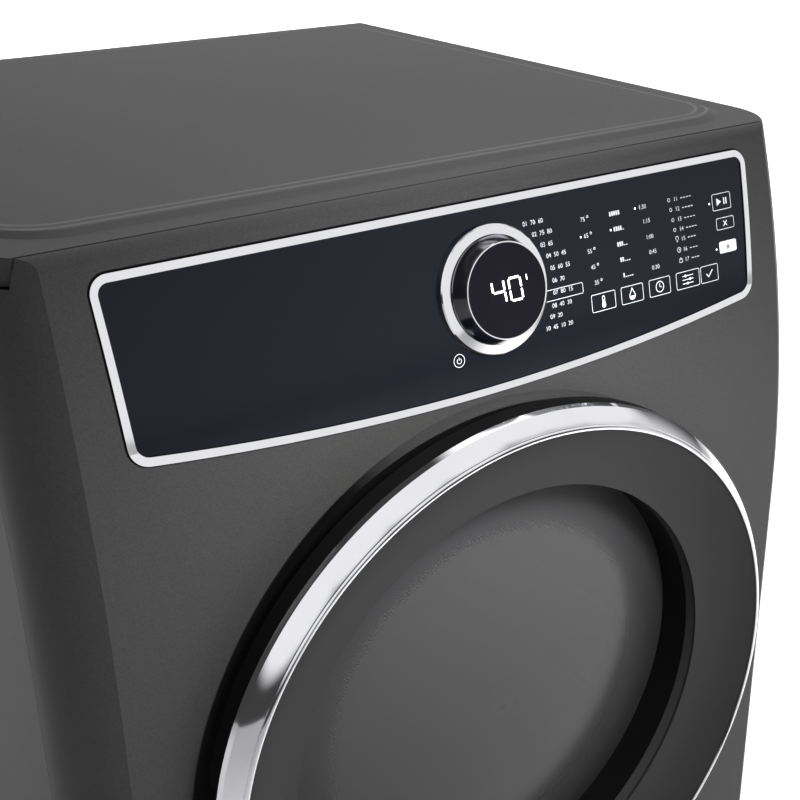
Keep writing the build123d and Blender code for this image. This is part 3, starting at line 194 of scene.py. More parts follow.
def paintedBendHighlights(paint, place):  # painted highlights: two lighter lines of colour along the pressed bends round the top's raised field, where the light would catch them
    x, y, _ = paint.axes(place)
    sides = zip((x, y - bendHighlightLook["y"] * mm), bendHighlightLook["half"])
    past = [paint.maths("ABSOLUTE", side) - (half - bendHighlightLook["corner"]) * mm for side, half in sides]
    corner = paint.reach(*[paint.maths("MAXIMUM", side, 0.0) for side in past])
    inside = paint.maths("MINIMUM", paint.maths("MAXIMUM", *past), 0.0)
    away = corner + inside - bendHighlightLook["corner"] * mm
    foot = paint.maths("ABSOLUTE", away)
    crest = paint.maths("ABSOLUTE", away + bendHighlightLook["slope"] * mm)
    return paint.ease(paint.maths("MINIMUM", foot, crest), bendHighlightLook["bend"] * mm, 0.0, 0.0, bendHighlightLook["catch"])


def paintedSeatShade(paint, place):  # painted shade: the pressed seat behind the door is painted matt black, off centre towards the lower left, standing in for the shadow in the gap round the door ring
    x, _, z = paint.axes(place)
    reach = paint.reach(x - seatShadeLook["x"] * mm, z - (door["z"] - seatShadeLook["drop"]) * mm)
    outer = (seatShadeLook["radius"] + seatShadeLook["edge"]) * mm
    return paint.ease(reach, outer, (seatShadeLook["radius"] - seatShadeLook["edge"]) * mm)


def sheetPaint(name, seatShaded=False, bendHighlights=False):
    look = paintLook
    paint = Recipe(name)
    place = paint.place()
    flakes = paint.cells(place, look["flakes"])
    cloud = paint.noise(place, look["cloud"], detail=3.0)
    peel = paint.noise(place, look["peel"])
    colour = paint.blend(paint.share(flakes, cloud, look["flakeShare"]), look["deep"], look["pale"])
    metal = paint.vary(look["metal"], flakes)
    rough = paint.vary(look["rough"], flakes) + cloud * look["cloudRough"]
    # painted highlight: the top's bends are given a lighter colour
    if bendHighlights:
        colour = paint.blend(paintedBendHighlights(paint, place), colour, bendHighlightLook["light"])
    # painted shade: the seat behind the door is turned matt black
    if seatShaded:
        seat = paintedSeatShade(paint, place)
        colour = paint.blend(seat, colour, seatShadeLook["shade"])
        metal = metal * (1.0 - seat)
        rough = rough + seat * seatShadeLook["dull"]
    return paint.surface({"Base Color": colour, "Metallic": metal, "Roughness": rough,
                          "Specular IOR Level": look["gloss"],
                          "Normal": paint.bump(peel + flakes * look["flakeBump"], *look["bump"])})


zincLook = {"dull": rgb(0.36, 0.37, 0.38), "bright": rgb(0.60, 0.61, 0.62), "spangle": 85.0, "stain": 6.0,
            "spangleShare": 0.55, "metal": 0.95, "rough": (0.30, 0.16), "stainRough": 0.08, "dimples": 420.0,
            "bump": (0.06, 0.0003)}


def zincSheet():
    look = zincLook
    zinc = Recipe("zincSheet")
    place = zinc.place()
    spangle = zinc.cells(place, look["spangle"])
    stain = zinc.noise(place, look["stain"], detail=5.0, rough=0.6)
    colour = zinc.blend(zinc.share(spangle, stain, look["spangleShare"]), look["dull"], look["bright"])
    return zinc.surface({"Base Color": colour, "Metallic": look["metal"],
                         "Roughness": zinc.vary(look["rough"], spangle) + stain * look["stainRough"],
                         "Normal": zinc.bump(zinc.noise(place, look["dimples"]), *look["bump"])})


chromeLook = {"bright": rgb(0.90, 0.90, 0.92), "polish": 0.035, "smoked": rgb(0.20, 0.195, 0.22), "satin": 0.10,
              "haze": 34.0, "lines": 160.0, "stretch": (1.0, 1.0, 14.0), "fade": 0.93, "hazeRough": 0.05,
              "lineRough": 0.02, "hazeHeight": 0.000004}
trimLook = {"cant": 0.12, "below": 838.0}


def chromePlate(name, colour, rough, cant=0.0, below=0.0):
    look = chromeLook
    chrome = Recipe(name)
    place = chrome.place()
    haze = chrome.noise(place, look["haze"], detail=3.0)
    lines = chrome.noise(chrome.place(scale=look["stretch"]), look["lines"])
    height = haze * look["hazeHeight"]
    if cant:  # the bar below that height is rolled to face up a little
        height = height + chrome.maths("MAXIMUM", below * mm - chrome.axes(place)[2], 0.0) * cant
    return chrome.surface({"Base Color": chrome.blend(haze, colour, toned(colour, look["fade"])), "Metallic": 1.0,
                           "Roughness": rough + haze * look["hazeRough"] + lines * look["lineRough"],
                           "Normal": chrome.bump(height, 1.0, 1.0)})


dialLook = {"smoke": rgb(0.34, 0.335, 0.37), "rim": rgb(0.90, 0.90, 0.92), "rimFrom": 16.75, "haze": 34.0,
            "rough": (0.09, 0.06), "rimPolish": 0.04, "bump": (0.012, 0.0005)}


def dialMetal():
    look = dialLook
    metal = Recipe("dialMetal")
    place = metal.place()
    _, y, z = metal.axes(place)
    sine, cosine, baseY = leanAt(dial["z"])
    proud = (baseY * mm - y) * cosine + (z - dial["z"] * mm) * sine  # height above the fascia
    bright = proud > look["rimFrom"] * mm
    haze = metal.noise(place, look["haze"], detail=3.0)
    return metal.surface({"Base Color": metal.blend(bright, look["smoke"], look["rim"]), "Metallic": 1.0,
                          "Roughness": metal.vary(look["rough"], haze) - bright * look["rimPolish"],
                          "Normal": metal.bump(haze, *look["bump"])})


navyLook = {"deep": rgb(0.0024, 0.0030, 0.0056), "pale": rgb(0.0034, 0.0040, 0.0071), "cloud": 3.0, "haze": 55.0,
            "ripple": 18.0, "rough": (0.11, 0.05), "gloss": 0.19, "bump": (0.010, 0.0006)}


def navyGloss():
    look = navyLook
    navy = Recipe("consoleNavy")
    place = navy.place()
    haze = navy.noise(place, look["haze"], detail=4.0)
    return navy.surface({"Base Color": navy.blend(navy.noise(place, look["cloud"]), look["deep"], look["pale"]),
                         "Roughness": navy.vary(look["rough"], haze), "Specular IOR Level": look["gloss"],
                         "Normal": navy.bump(navy.noise(place, look["ripple"]), *look["bump"])})


grainLook = {"cloud": 9.0, "grainShare": 0.5, "grainRough": 0.12, "depth": 0.0003}


def grainPlastic(name, dark, pale, rough, grain=900.0, relief=0.16, gloss=0.5):
    look = grainLook
    plastic = Recipe(name)
    place = plastic.place()
    pebbles = plastic.noise(place, grain, rough=0.6)
    cloud = plastic.noise(place, look["cloud"], detail=3.0)
    colour = plastic.blend(plastic.share(pebbles, cloud, look["grainShare"]), dark, pale)
    return plastic.surface({"Base Color": colour, "Roughness": rough + pebbles * look["grainRough"],
                            "Specular IOR Level": gloss, "Normal": plastic.bump(pebbles, relief, look["depth"])})


satinLook = {"deep": rgb(0.0115, 0.0115, 0.0118), "pale": rgb(0.018, 0.018, 0.0183), "rings": 900.0, "cloud": 5.0,
             "ringShare": 0.4, "metal": 0.08, "rough": (0.44, 0.08), "gloss": 0.20, "bump": (0.03, 0.0003)}


def doorSatin():
    look = satinLook
    satin = Recipe("doorSatin")
    place = satin.place()
    x, y, z = satin.axes(place)
    radius = satin.reach(x, z - door["z"] * mm)
    turning = satin.out(satin.node("ShaderNodeCombineXYZ", None, {0: radius, 1: y}))
    rings = satin.noise(turning, look["rings"])
    cloud = satin.noise(place, look["cloud"], detail=3.0)
    colour = satin.blend(satin.share(rings, cloud, look["ringShare"]), look["deep"], look["pale"])
    return satin.surface({"Base Color": colour, "Metallic": look["metal"],
                          "Roughness": satin.vary(look["rough"], rings), "Specular IOR Level": look["gloss"],
                          "Normal": satin.bump(rings, *look["bump"])})


shellLook = {"dark": grey(0.002), "worn": grey(0.005), "bevelHighlight": rgb(0.030, 0.030, 0.031), "bevelTo": -371.0,
             "radius": 206.0, "grain": 900.0, "rough": (0.40, 0.12), "gloss": 0.08, "bump": (0.10, 0.0003)}


def doorShell():  # black, with a painted highlight: a paler band of colour on the bevel at the mouth of the window recess
    look = shellLook
    shell = Recipe("doorShell")
    place = shell.place()
    x, y, z = shell.axes(place)
    inside = shell.reach(x, z - door["z"] * mm) < look["radius"] * mm
    # painted highlight: the band at the recess mouth is given a paler colour
    bevelHighlight = inside * (y < look["bevelTo"] * mm)
    pebbles = shell.noise(place, look["grain"], rough=0.6)
    colour = shell.blend(bevelHighlight, shell.blend(pebbles, look["dark"], look["worn"]), look["bevelHighlight"])
    return shell.surface({"Base Color": colour, "Roughness": shell.vary(look["rough"], pebbles),
                          "Specular IOR Level": look["gloss"], "Normal": shell.bump(pebbles, *look["bump"])})


paneLook = {"pitch": 3.6, "clear": 140.0, "solid": 166.0, "dotReach": 0.74, "frit": rgb(0.020, 0.020, 0.021),
            "tint": rgb(0.034, 0.034, 0.035), "seeThrough": 0.80, "smear": 7.0, "rough": (0.52, 0.08),
            "clearPolish": 0.36, "gloss": 0.32, "bump": (0.01, 0.001)}


def paneGlass():  # clear in the middle, with dots of black that close up towards the rim
    look = paneLook
    pane = Recipe("paneGlass")
    place = pane.place(shift=(0, 0, -door["z"] * mm))
    x, _, z = pane.axes(place)
    pitch = look["pitch"] * mm
    across = pane.maths("FRACT", (x + z) / pitch) - 0.5
    along = pane.maths("FRACT", (x - z) / pitch) - 0.5
    share = pane.ease(pane.reach(x, z), look["solid"] * mm, look["clear"] * mm)
    dots = pane.reach(across, along) < share * look["dotReach"]
    smear = pane.noise(place, look["smear"], detail=4.0)
    return pane.surface({"Base Color": pane.blend(dots, look["frit"], look["tint"]),
                         "Roughness": pane.vary(look["rough"], smear) - share * look["clearPolish"],
                         "Specular IOR Level": look["gloss"], "Alpha": 1.0 - dots * (1.0 - look["seeThrough"]),
                         "Normal": pane.bump(smear, *look["bump"])})


lensLook = {"deep": rgb(0.0030, 0.0028, 0.0045), "pale": rgb(0.0045, 0.0042, 0.0065), "haze": 40.0,
            "rough": (0.07, 0.05), "gloss": 0.06}


def displayGlass():
    look = lensLook
    glass = Recipe("displayGlass")
    haze = glass.noise(glass.place(), look["haze"], detail=3.0)
    return glass.surface({"Base Color": glass.blend(haze, look["deep"], look["pale"]),
                          "Roughness": glass.vary(look["rough"], haze), "Specular IOR Level": look["gloss"]})


steelLook = {"lines": 900.0, "stretch": (1.0, 0.03, 1.0), "cloud": 5.0, "lineShare": 0.6, "pale": 1.18,
             "rough": (0.24, 0.14), "bump": (0.05, 0.0003)}


def brushedSteel(name, colour, turn=(0, 0, 0)):
    look = steelLook
    steel = Recipe(name)
    lines = steel.noise(steel.place(turn=turn, scale=look["stretch"]), look["lines"], detail=3.0)
    cloud = steel.noise(steel.place(turn=turn), look["cloud"], detail=3.0)
    pattern = steel.share(lines, cloud, look["lineShare"])
    return steel.surface({"Base Color": steel.blend(pattern, colour, toned(colour, look["pale"])), "Metallic": 1.0,
                          "Roughness": steel.vary(look["rough"], lines), "Normal": steel.bump(lines, *look["bump"])})


feltLook = {"dark": rgb(0.16, 0.155, 0.15), "pale": rgb(0.34, 0.33, 0.31), "hairs": 700.0, "tufts": 60.0,
            "hairShare": 0.6, "rough": 0.92, "sheen": 0.3, "bump": (0.5, 0.0008)}


def pressedFelt():
    look = feltLook
    felt = Recipe("pressedFelt")
    place = felt.place()
    hairs = felt.noise(place, look["hairs"], detail=6.0, rough=0.75)
    tufts = felt.noise(place, look["tufts"], detail=4.0)
    colour = felt.blend(felt.share(hairs, tufts, look["hairShare"]), look["dark"], look["pale"])
    return felt.surface({"Base Color": colour, "Roughness": look["rough"], "Sheen Weight": look["sheen"],
                         "Normal": felt.bump(hairs + tufts, *look["bump"])})


rubberLook = {"clean": grey(0.010), "dusty": rgb(0.026, 0.025, 0.024), "dust": 30.0, "pores": 1100.0,
              "rough": (0.62, 0.18), "bump": (0.12, 0.0003)}


def softRubber():
    look = rubberLook
    rubber = Recipe("softRubber")
    place = rubber.place()
    dust = rubber.noise(place, look["dust"], detail=5.0, rough=0.65)
    return rubber.surface({"Base Color": rubber.blend(dust, look["clean"], look["dusty"]),
                           "Roughness": rubber.vary(look["rough"], dust),
                           "Normal": rubber.bump(rubber.noise(place, look["pores"]), *look["bump"])})


boardLook = {"bare": rgb(0.010, 0.075, 0.030), "track": rgb(0.020, 0.150, 0.060), "tracks": 260.0, "trackShare": 0.28,
             "patches": 70.0, "patchFrom": 0.55, "grain": 200.0, "rough": (0.34, 0.2)}


def circuitBoard():
    look = boardLook
    board = Recipe("circuitBoard")
    place = board.place()
    tracks = board.maths("FRACT", board.axes(place)[0] * look["tracks"]) < look["trackShare"]
    patches = board.cells(place, look["patches"]) > look["patchFrom"]
    return board.surface({"Base Color": board.blend(tracks * patches, look["bare"], look["track"]),
                          "Roughness": board.vary(look["rough"], board.noise(place, look["grain"]))})


lampLook = {"clear": rgb(0.78, 0.78, 0.74), "milky": rgb(0.92, 0.92, 0.88), "frost": 800.0, "rough": (0.35, 0.2),
            "cover": 0.85, "bump": (0.1, 0.0003)}


def lampGlass():
    look = lampLook
    lamp = Recipe("lampGlass")
    frost = lamp.noise(lamp.place(), look["frost"], detail=3.0)
    return lamp.surface({"Base Color": lamp.blend(frost, look["clear"], look["milky"]), "Alpha": look["cover"],
                         "Roughness": lamp.vary(look["rough"], frost), "Normal": lamp.bump(frost, *look["bump"])})


brassLook = {"bright": rgb(0.62, 0.44, 0.17), "dull": rgb(0.42, 0.29, 0.12), "lines": 1400.0, "tarnish": 45.0,
             "rough": (0.22, 0.2), "bump": (0.08, 0.0003)}


def turnedBrass():
    look = brassLook
    brass = Recipe("turnedBrass")
    place = brass.place()
    along = brass.out(brass.node("ShaderNodeCombineXYZ", None, {0: brass.axes(place)[1]}))
    tarnish = brass.noise(place, look["tarnish"], detail=4.0)
    return brass.surface({"Base Color": brass.blend(tarnish, look["bright"], look["dull"]), "Metallic": 1.0,
                          "Roughness": brass.vary(look["rough"], tarnish),
                          "Normal": brass.bump(brass.noise(along, look["lines"]), *look["bump"])})


heaterLook = {"dark": rgb(0.16, 0.13, 0.12), "pale": rgb(0.34, 0.30, 0.28), "scale": 240.0, "metal": 0.8,
              "rough": (0.45, 0.25), "bump": (0.2, 0.0004)}


def heaterWire():
    look = heaterLook
    wire = Recipe("heaterWire")
    scale = wire.noise(wire.place(), look["scale"], detail=5.0, rough=0.7)
    return wire.surface({"Base Color": wire.blend(scale, look["dark"], look["pale"]), "Metallic": look["metal"],
                         "Roughness": wire.vary(look["rough"], scale), "Normal": wire.bump(scale, *look["bump"])})


finishes = {
    "cabinet_paint": sheetPaint("cabinetPaint"),
    "galvanised": zincSheet(),
    "bright_chrome": chromePlate("brightChrome", chromeLook["bright"], chromeLook["polish"]),
    "smoked_chrome": chromePlate("smokedChrome", chromeLook["smoked"], chromeLook["satin"]),
    "console_navy": navyGloss(),
    "key_white": grainPlastic("keyWhite", rgb(0.70, 0.71, 0.76), rgb(0.80, 0.81, 0.85), 0.22, grain=500.0,
                              relief=0.03),
    "display_black": displayGlass(),
    "black_plastic": grainPlastic("blackPlastic", grey(0.002), grey(0.005), 0.40, relief=0.10, gloss=0.08),
    "door_satin": doorSatin(),
    "tinted_glass": paneGlass(),
    "lamp_glass": lampGlass(),
    "liner_grey": grainPlastic("linerGrey", rgb(0.24, 0.24, 0.25), rgb(0.33, 0.33, 0.34), 0.42),
    "filter_grey": grainPlastic("filterGrey", rgb(0.15, 0.15, 0.16), rgb(0.22, 0.22, 0.23), 0.42),
    "board_green": circuitBoard(),
    "dark_rubber": softRubber(),
    "grey_felt": pressedFelt(),
    "bright_steel": brushedSteel("brightSteel", rgb(0.52, 0.52, 0.53)),
    "motor_grey": grainPlastic("motorGrey", rgb(0.22, 0.22, 0.23), rgb(0.32, 0.32, 0.33), 0.40, grain=300.0,
                               relief=0.2),
    "heater_wire": heaterWire(),
    "valve_brass": turnedBrass(),
}
ownFinish = {
    "front_panel": sheetPaint("frontPaint", seatShaded=True),
    "top_panel": sheetPaint("topPaint", bendHighlights=True),
    "door_shell": doorShell(),
    "selector_knob": dialMetal(),
    "console_trim": chromePlate("trimChrome", chromeLook["bright"], chromeLook["polish"], **trimLook),
}
slotOf = {entry["node"]: entry["material_slot"] for entry in frame["record"]["subparts"]}
for name, obj in nodes.items():
    obj.data.materials.clear()
    obj.data.materials.append(ownFinish.get(name, finishes[slotOf[name]]))
print("finishes on", len(nodes), "nodes")


# flat artwork, drawn in millimetres as lists of (across, up) corners

def strokePath(points, width, closed=False):
    count = len(points)
    sharpest = 0.35  # keeps a pointed corner short
    left, right = [], []
    for index in range(count):
        here = Vector(points[index])
        before = Vector(points[index - 1]) if closed or index > 0 else None
        after = Vector(points[(index + 1) % count]) if closed or index < count - 1 else None
        first = (here - before).normalized() if before is not None else (after - here).normalized()
        second = (after - here).normalized() if after is not None else first
        side = Vector((-first.y - second.y, first.x + second.x)).normalized()
        reach = width / 2 / max(sharpest, side.dot(Vector((-second.y, second.x))))
        left.append(tuple(here + side * reach))
        right.append(tuple(here - side * reach))
    last = count if closed else count - 1
    return [[right[i], right[(i + 1) % count], left[(i + 1) % count], left[i]] for i in range(last)]


def arcPoints(x, z, radius, start, end, steps):
    turns = [math.radians(start + (end - start) * i / steps) for i in range(steps + 1)]
    return [(x + radius * math.cos(turn), z + radius * math.sin(turn)) for turn in turns]


def discShape(x, z, radius, steps=20):
    return [arcPoints(x, z, radius, 0, 360, steps)[:-1]]


def ringShape(x, z, radius, width, steps=32):
    return strokePath(arcPoints(x, z, radius, 0, 360, steps)[:-1], width, True)


def barShape(x, z, wide, tall):
    return [[(x, z), (x + wide, z), (x + wide, z + tall), (x, z + tall)]]


def boxOutline(x, z, wide, tall, corner, steps=5):
    points = []
    for turn, signX, signZ in ((0, 1, 1), (90, -1, 1), (180, -1, -1), (270, 1, -1)):
        middleX = x + signX * (wide / 2 - corner)
        middleZ = z + signZ * (tall / 2 - corner)
        points += arcPoints(middleX, middleZ, corner, turn, turn + 90, steps)
    return points


def figureShape(text, x, z, size):
    curve = bpy.data.curves.new("figures", "FONT")
    curve.body = text
    curve.size = size
    curve.resolution_u = 3
    holder = bpy.data.objects.new("figures", curve)
    bpy.context.scene.collection.objects.link(holder)
    bpy.context.view_layer.update()
    graph = bpy.context.evaluated_depsgraph_get()
    mesh = bpy.data.meshes.new_from_object(holder.evaluated_get(graph))
    corners = [(vertex.co.x + x, vertex.co.y + z) for vertex in mesh.vertices]
    shapes = [[corners[index] for index in face.vertices] for face in mesh.polygons]
    bpy.data.objects.remove(holder)
    bpy.data.curves.remove(curve)
    bpy.data.meshes.remove(mesh)
    return shapes


def onFascia(x, z, proud):
    sine, cosine, y = leanAt(z)
    return Vector((x, y - proud * cosine, z + proud * sine)) * mm


def onLens(x, z, proud):
    sine, cosine, _ = leanAt(dial["z"])
    base = onFascia(dial["x"], dial["z"], dial["lensProud"] + proud)
    return base + Vector((x, z * sine, z * cosine)) * mm


inkLook = {"proud": 0.07, "thick": 0.05, "merge": 0.002, "pen": 0.45, "cover": 900.0, "faded": 0.86,
           "rough": (0.38, 0.1)}


def printInk(name, colour, glow=0.0):
    ink = Recipe(name)
    cover = ink.noise(ink.place(), inkLook["cover"])
    tone = ink.blend(cover, toned(colour, inkLook["faded"]), colour)
    return ink.surface({"Base Color": tone, "Roughness": ink.vary(inkLook["rough"], cover), "Emission Color": tone,
                        "Emission Strength": glow})


def printPiece(name, shapes, seat, body, ink):
    made = bmesh.new()
    for shape in shapes:
        made.faces.new([made.verts.new(seat(x, z, inkLook["proud"])) for x, z in shape])
    bmesh.ops.remove_doubles(made, verts=made.verts, dist=inkLook["merge"] * mm)
    mesh = bpy.data.meshes.new(name)
    made.to_mesh(mesh)
    made.free()
    piece = bpy.data.objects.new(name, mesh)
    bpy.context.scene.collection.objects.link(piece)
    mesh.materials.append(ink)
    skin = piece.modifiers.new("skin", "SOLIDIFY")
    skin.thickness = inkLook["thick"] * mm
    skin.offset = -1.0
    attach(piece, body)


# whiteInk and labelInk glow faintly by emission, a painted glow on print that is no lamp; lampInk lights the real
# lamps and the display
whiteInk = printInk("whiteInk", rgb(0.62, 0.63, 0.67), 0.03)
labelInk = printInk("labelInk", rgb(0.44, 0.45, 0.48), 0.02)
greyInk = printInk("greyInk", rgb(0.16, 0.16, 0.18))
lampInk = printInk("lampInk", rgb(0.95, 0.96, 1.0), 1.6)
pen = inkLook["pen"]
labels = []

# programme list right of the dial: number, heat and minutes on each row, one row framed
cycles = {"size": 4.7, "framePen": 0.55,
          "frame": [(59.9, 873.4), (94.6, 873.4), (95.6, 872.4), (95.6, 866.4), (94.6, 865.4), (59.4, 865.4)],
          "rows": [(46.5, 922.7, "01  70  60"), (53.6, 914.1, "02  75  80"), (60.2, 905.4, "03  65"),
                   (64.2, 896.8, "04  50  45"), (66.6, 887.6, "05  60  55"), (67.1, 878.3, "06  70"),
                   (66.6, 869.4, "07  80  15"), (64.2, 860.0, "08  40  30"), (61.3, 852.2, "09  20"),
                   (56.0, 844.2, "10  45  10  20")]}
for x, z, text in cycles["rows"]:
    labels += figureShape(text, x, z, cycles["size"])
labels += strokePath(cycles["frame"], cycles["framePen"])

# three option columns above their keys: heat, minutes, and bars for dryness
columns = {"size": 4.7, "degreeX": 7.2, "degreeZ": 2.9, "degree": 0.8, "degreeSteps": 14,
           "bars": 5, "barPitch": 2.2, "barWide": 1.5, "fullBar": 3.3, "emptyBar": 0.7,
           "heat": [(101.0, 917.1, "75"), (102.3, 904.8, "65"), (104.0, 893.0, "55"), (105.6, 880.9, "45"),
                    (107.5, 868.9, "35")],
           "time": [(160.4, 916.9, "1:30"), (162.9, 905.9, "1:15"), (164.5, 893.5, "1:00"), (166.2, 881.8, "0:45"),
                    (167.5, 869.4, "0:30")],
           "level": [(130.0, 916.6, 5), (132.6, 904.9, 4), (134.5, 893.1, 3), (135.8, 881.2, 2), (137.2, 869.1, 1)]}
for x, z, text in columns["heat"]:
    labels += figureShape(text, x, z, columns["size"])
    labels += ringShape(x + columns["degreeX"], z + columns["degreeZ"], columns["degree"], pen, columns["degreeSteps"])
for x, z, text in columns["time"]:
    labels += figureShape(text, x, z, columns["size"])
for x, z, filled in columns["level"]:
    for step in range(columns["bars"]):
        tall = columns["fullBar"] if step < filled else columns["emptyBar"]
        labels += barShape(x + step * columns["barPitch"], z, columns["barWide"], tall)


# option list at the right: a sign, a number and a row of dashes on each line

def spotSign(x, z):
    return ringShape(x + 1.6, z + 1.7, 1.25, pen, 20)


def bulbSign(x, z):
    x += 2.2
    glass = strokePath(arcPoints(x, z + 2.6, 1.55, -55, 235, 16), pen)
    collar = strokePath([(x - 0.7, z + 0.7), (x + 0.7, z + 0.7)], 0.5)
    return glass + collar + strokePath([(x - 0.6, z), (x + 0.6, z)], pen)


def clockShape(x, z, radius, width):
    hands = strokePath([(x, z + radius * 0.62), (x, z), (x + radius * 0.5, z - radius * 0.15)], width)
    return ringShape(x, z, radius, width, 24) + hands


def clockSign(x, z):
    return clockShape(x + 2.2, z + 1.9, 1.9, pen)


def lockSign(x, z):
    x += 2.2
    body = strokePath(boxOutline(x, z + 1.2, 3.2, 2.5, 0.4), pen, True)
    return body + strokePath(arcPoints(x, z + 2.4, 1.0, 0, 180, 10), pen)


options = {"x": 191.5, "lean": 0.118, "first": 11, "size": 4.7, "numberX": 6.6, "dashX": 14.2, "dashZ": 1.2,
           "dashPitch": 3.2, "dashWide": 2.1, "dashTall": 0.7,
           "rows": [(917.3, spotSign, 4), (909.7, spotSign, 4), (901.7, spotSign, 4), (893.9, spotSign, 4),
                    (886.2, bulbSign, 3), (877.7, clockSign, 3), (869.6, lockSign, 3)]}
for row, (z, sign, dashes) in enumerate(options["rows"]):
    x = options["x"] + (options["rows"][0][0] - z) * options["lean"]
    labels += sign(x, z)
    labels += figureShape(str(row + options["first"]), x + options["numberX"], z, options["size"])
    for step in range(dashes):
        left = x + options["dashX"] + step * options["dashPitch"]
        labels += barShape(left, z + options["dashZ"], options["dashWide"], options["dashTall"])
printPiece("consoleLabels", labels, onFascia, "cabinet", labelInk)

lampSpots = {"radius": 0.75, "steps": 14, "spots": [(50.6, 912.9), (99.4, 906.3), (129.6, 906.5), (156.9, 918.4),
                                                    (236.8, 909.3), (239.9, 872.5)]}
lampShapes = []
for x, z in lampSpots["spots"]:
    lampShapes += discShape(x, z, lampSpots["radius"], lampSpots["steps"])
printPiece("consoleLamps", lampShapes, onFascia, "cabinet", lampInk)


# key faces: a printed outline and a plain sign on each

def heatSign(x, z):
    stem = strokePath([(x - 1.1, z - 1.0)] + arcPoints(x, z + 3.2, 1.1, 180, 0, 8) + [(x + 1.1, z - 1.0)], 0.6)
    return stem + discShape(x, z - 2.6, 2.1) + strokePath([(x, z - 2), (x, z + 1.6)], 0.8)


def dropSign(x, z):
    drop = [(x, z + 4.4)] + arcPoints(x, z - 1.3, 2.9, 30, -210, 22)
    water = arcPoints(x, z - 1.3, 2.0, 0, -180, 14)
    return strokePath(drop, 0.65, True) + [water[::-1]]


def timeSign(x, z):
    return clockShape(x, z, 4.1, 0.7)


def sliderSign(x, z):
    bars = []
    for rise, spot in ((3.0, -2.6), (0.0, 2.4), (-3.0, -0.6)):
        bars += strokePath([(x - 6, z + rise), (x + 6, z + rise)], 0.65) + discShape(x + spot, z + rise, 1.15, 16)
    return bars


def tickSign(x, z):
    return strokePath([(x - 3.4, z + 0.2), (x - 1.0, z - 2.4), (x + 3.6, z + 2.8)], 0.9)


def startSign(x, z):
    bars = barShape(x + 2.2, z - 2.6, 1.3, 5.2) + barShape(x + 4.7, z - 2.6, 1.3, 5.2)
    return [[(x - 5.6, z - 3.0), (x - 0.4, z), (x - 5.6, z + 3.0)]] + bars


def crossSign(x, z):
    rising = strokePath([(x - 2.0, z - 2.0), (x + 2.0, z + 2.0)], 0.8)
    return rising + strokePath([(x - 2.0, z + 2.0), (x + 2.0, z - 2.0)], 0.8)


def starSign(x, z):
    z -= 0.2
    tips = [arcPoints(x, z, 3.2 if i % 2 == 0 else 1.35, 90 + i * 36, 90 + i * 36, 1)[0] for i in range(10)]
    return [[(x, z), tips[i], tips[(i + 1) % 10]] for i in range(10)]


keyArt = {"outline": 0.46, "inset": 0.9, "corner": 1.3, "keys": {
    "temp_key": (114.8, 855.0, 24.9, 14.2, heatSign), "dry_level_key": (144.6, 855.0, 23.7, 14.2, dropSign),
    "dry_time_key": (174.1, 855.0, 23.4, 14.2, timeSign), "options_key": (205.2, 855.0, 26.4, 14.2, sliderSign),
    "select_key": (229.6, 855.0, 20.4, 14.2, tickSign), "start_key": (250.6, 909.4, 21.6, 13.6, startSign),
    "cancel_key": (252.4, 891.9, 20.8, 9.9, crossSign), "favourite_key": (253.3, 873.0, 19.4, 9.5, starSign)}}
for name, (x, z, wide, tall, sign) in keyArt["keys"].items():
    shapes = sign(x, z)
    pale = name == "favourite_key"  # the one pale key has no outline
    if not pale:
        outline = boxOutline(x, z, wide - keyArt["inset"], tall - keyArt["inset"], keyArt["corner"])
        shapes += strokePath(outline, keyArt["outline"], True)
    printPiece(name + "_print", shapes, onFascia, name, greyInk if pale else whiteInk)

powerArt = {"x": -24.9, "z": 840.0, "rim": 4.7, "rimPen": 0.42, "arc": 1.9, "arcDrop": 0.2, "stem": (0.2, 2.5),
            "stemPen": 0.5}
x, z = powerArt["x"], powerArt["z"]
shapes = ringShape(x, z, powerArt["rim"], powerArt["rimPen"], 36)
shapes += strokePath(arcPoints(x, z - powerArt["arcDrop"], powerArt["arc"], 125, 415, 22), pen)
shapes += strokePath([(x, z + rise) for rise in powerArt["stem"]], powerArt["stemPen"])
printPiece("power_key_print", shapes, onFascia, "power_key", whiteInk)

# two seven-stroke figures behind the display glass
display = {"figures": "40", "wide": 10.4, "tall": 16.4, "stroke": 1.6, "slant": -0.07, "space": 4.6, "gap": 0.7,
           "x": -12.0, "z": -8.2, "mark": ((0.6, 12.6), (0.3, 16.6)), "markPen": 0.9}
lit = {"0": "abcdef", "1": "bc", "2": "abdeg", "3": "abcdg", "4": "bcfg", "5": "acdfg", "6": "acdefg", "7": "abc",
       "8": "abcdefg", "9": "abcdfg"}
strokes = {"a": ((0, 1), (1, 1)), "b": ((1, 1), (1, 0.5)), "c": ((1, 0.5), (1, 0)), "d": ((0, 0), (1, 0)),
           "e": ((0, 0.5), (0, 0)), "f": ((0, 1), (0, 0.5)), "g": ((0, 0.5), (1, 0.5))}
figures = []
left = display["x"]
for figure in display["figures"]:
    for letter in lit[figure]:
        ends = [Vector((left + u * display["wide"] + v * display["tall"] * display["slant"],
                        display["z"] + v * display["tall"])) for u, v in strokes[letter]]
        along = (ends[1] - ends[0]).normalized() * display["gap"]
        figures += strokePath([tuple(ends[0] + along), tuple(ends[1] - along)], display["stroke"])
    left += display["wide"] + display["space"]
minutes = [(left + across, display["z"] + rise) for across, rise in display["mark"]]
figures += strokePath(minutes, display["markPen"])
printPiece("displayFigures", figures, onLens, "cabinet", lampInk)
print("console artwork done")


# node trees that repeat a part, turned into plain meshes

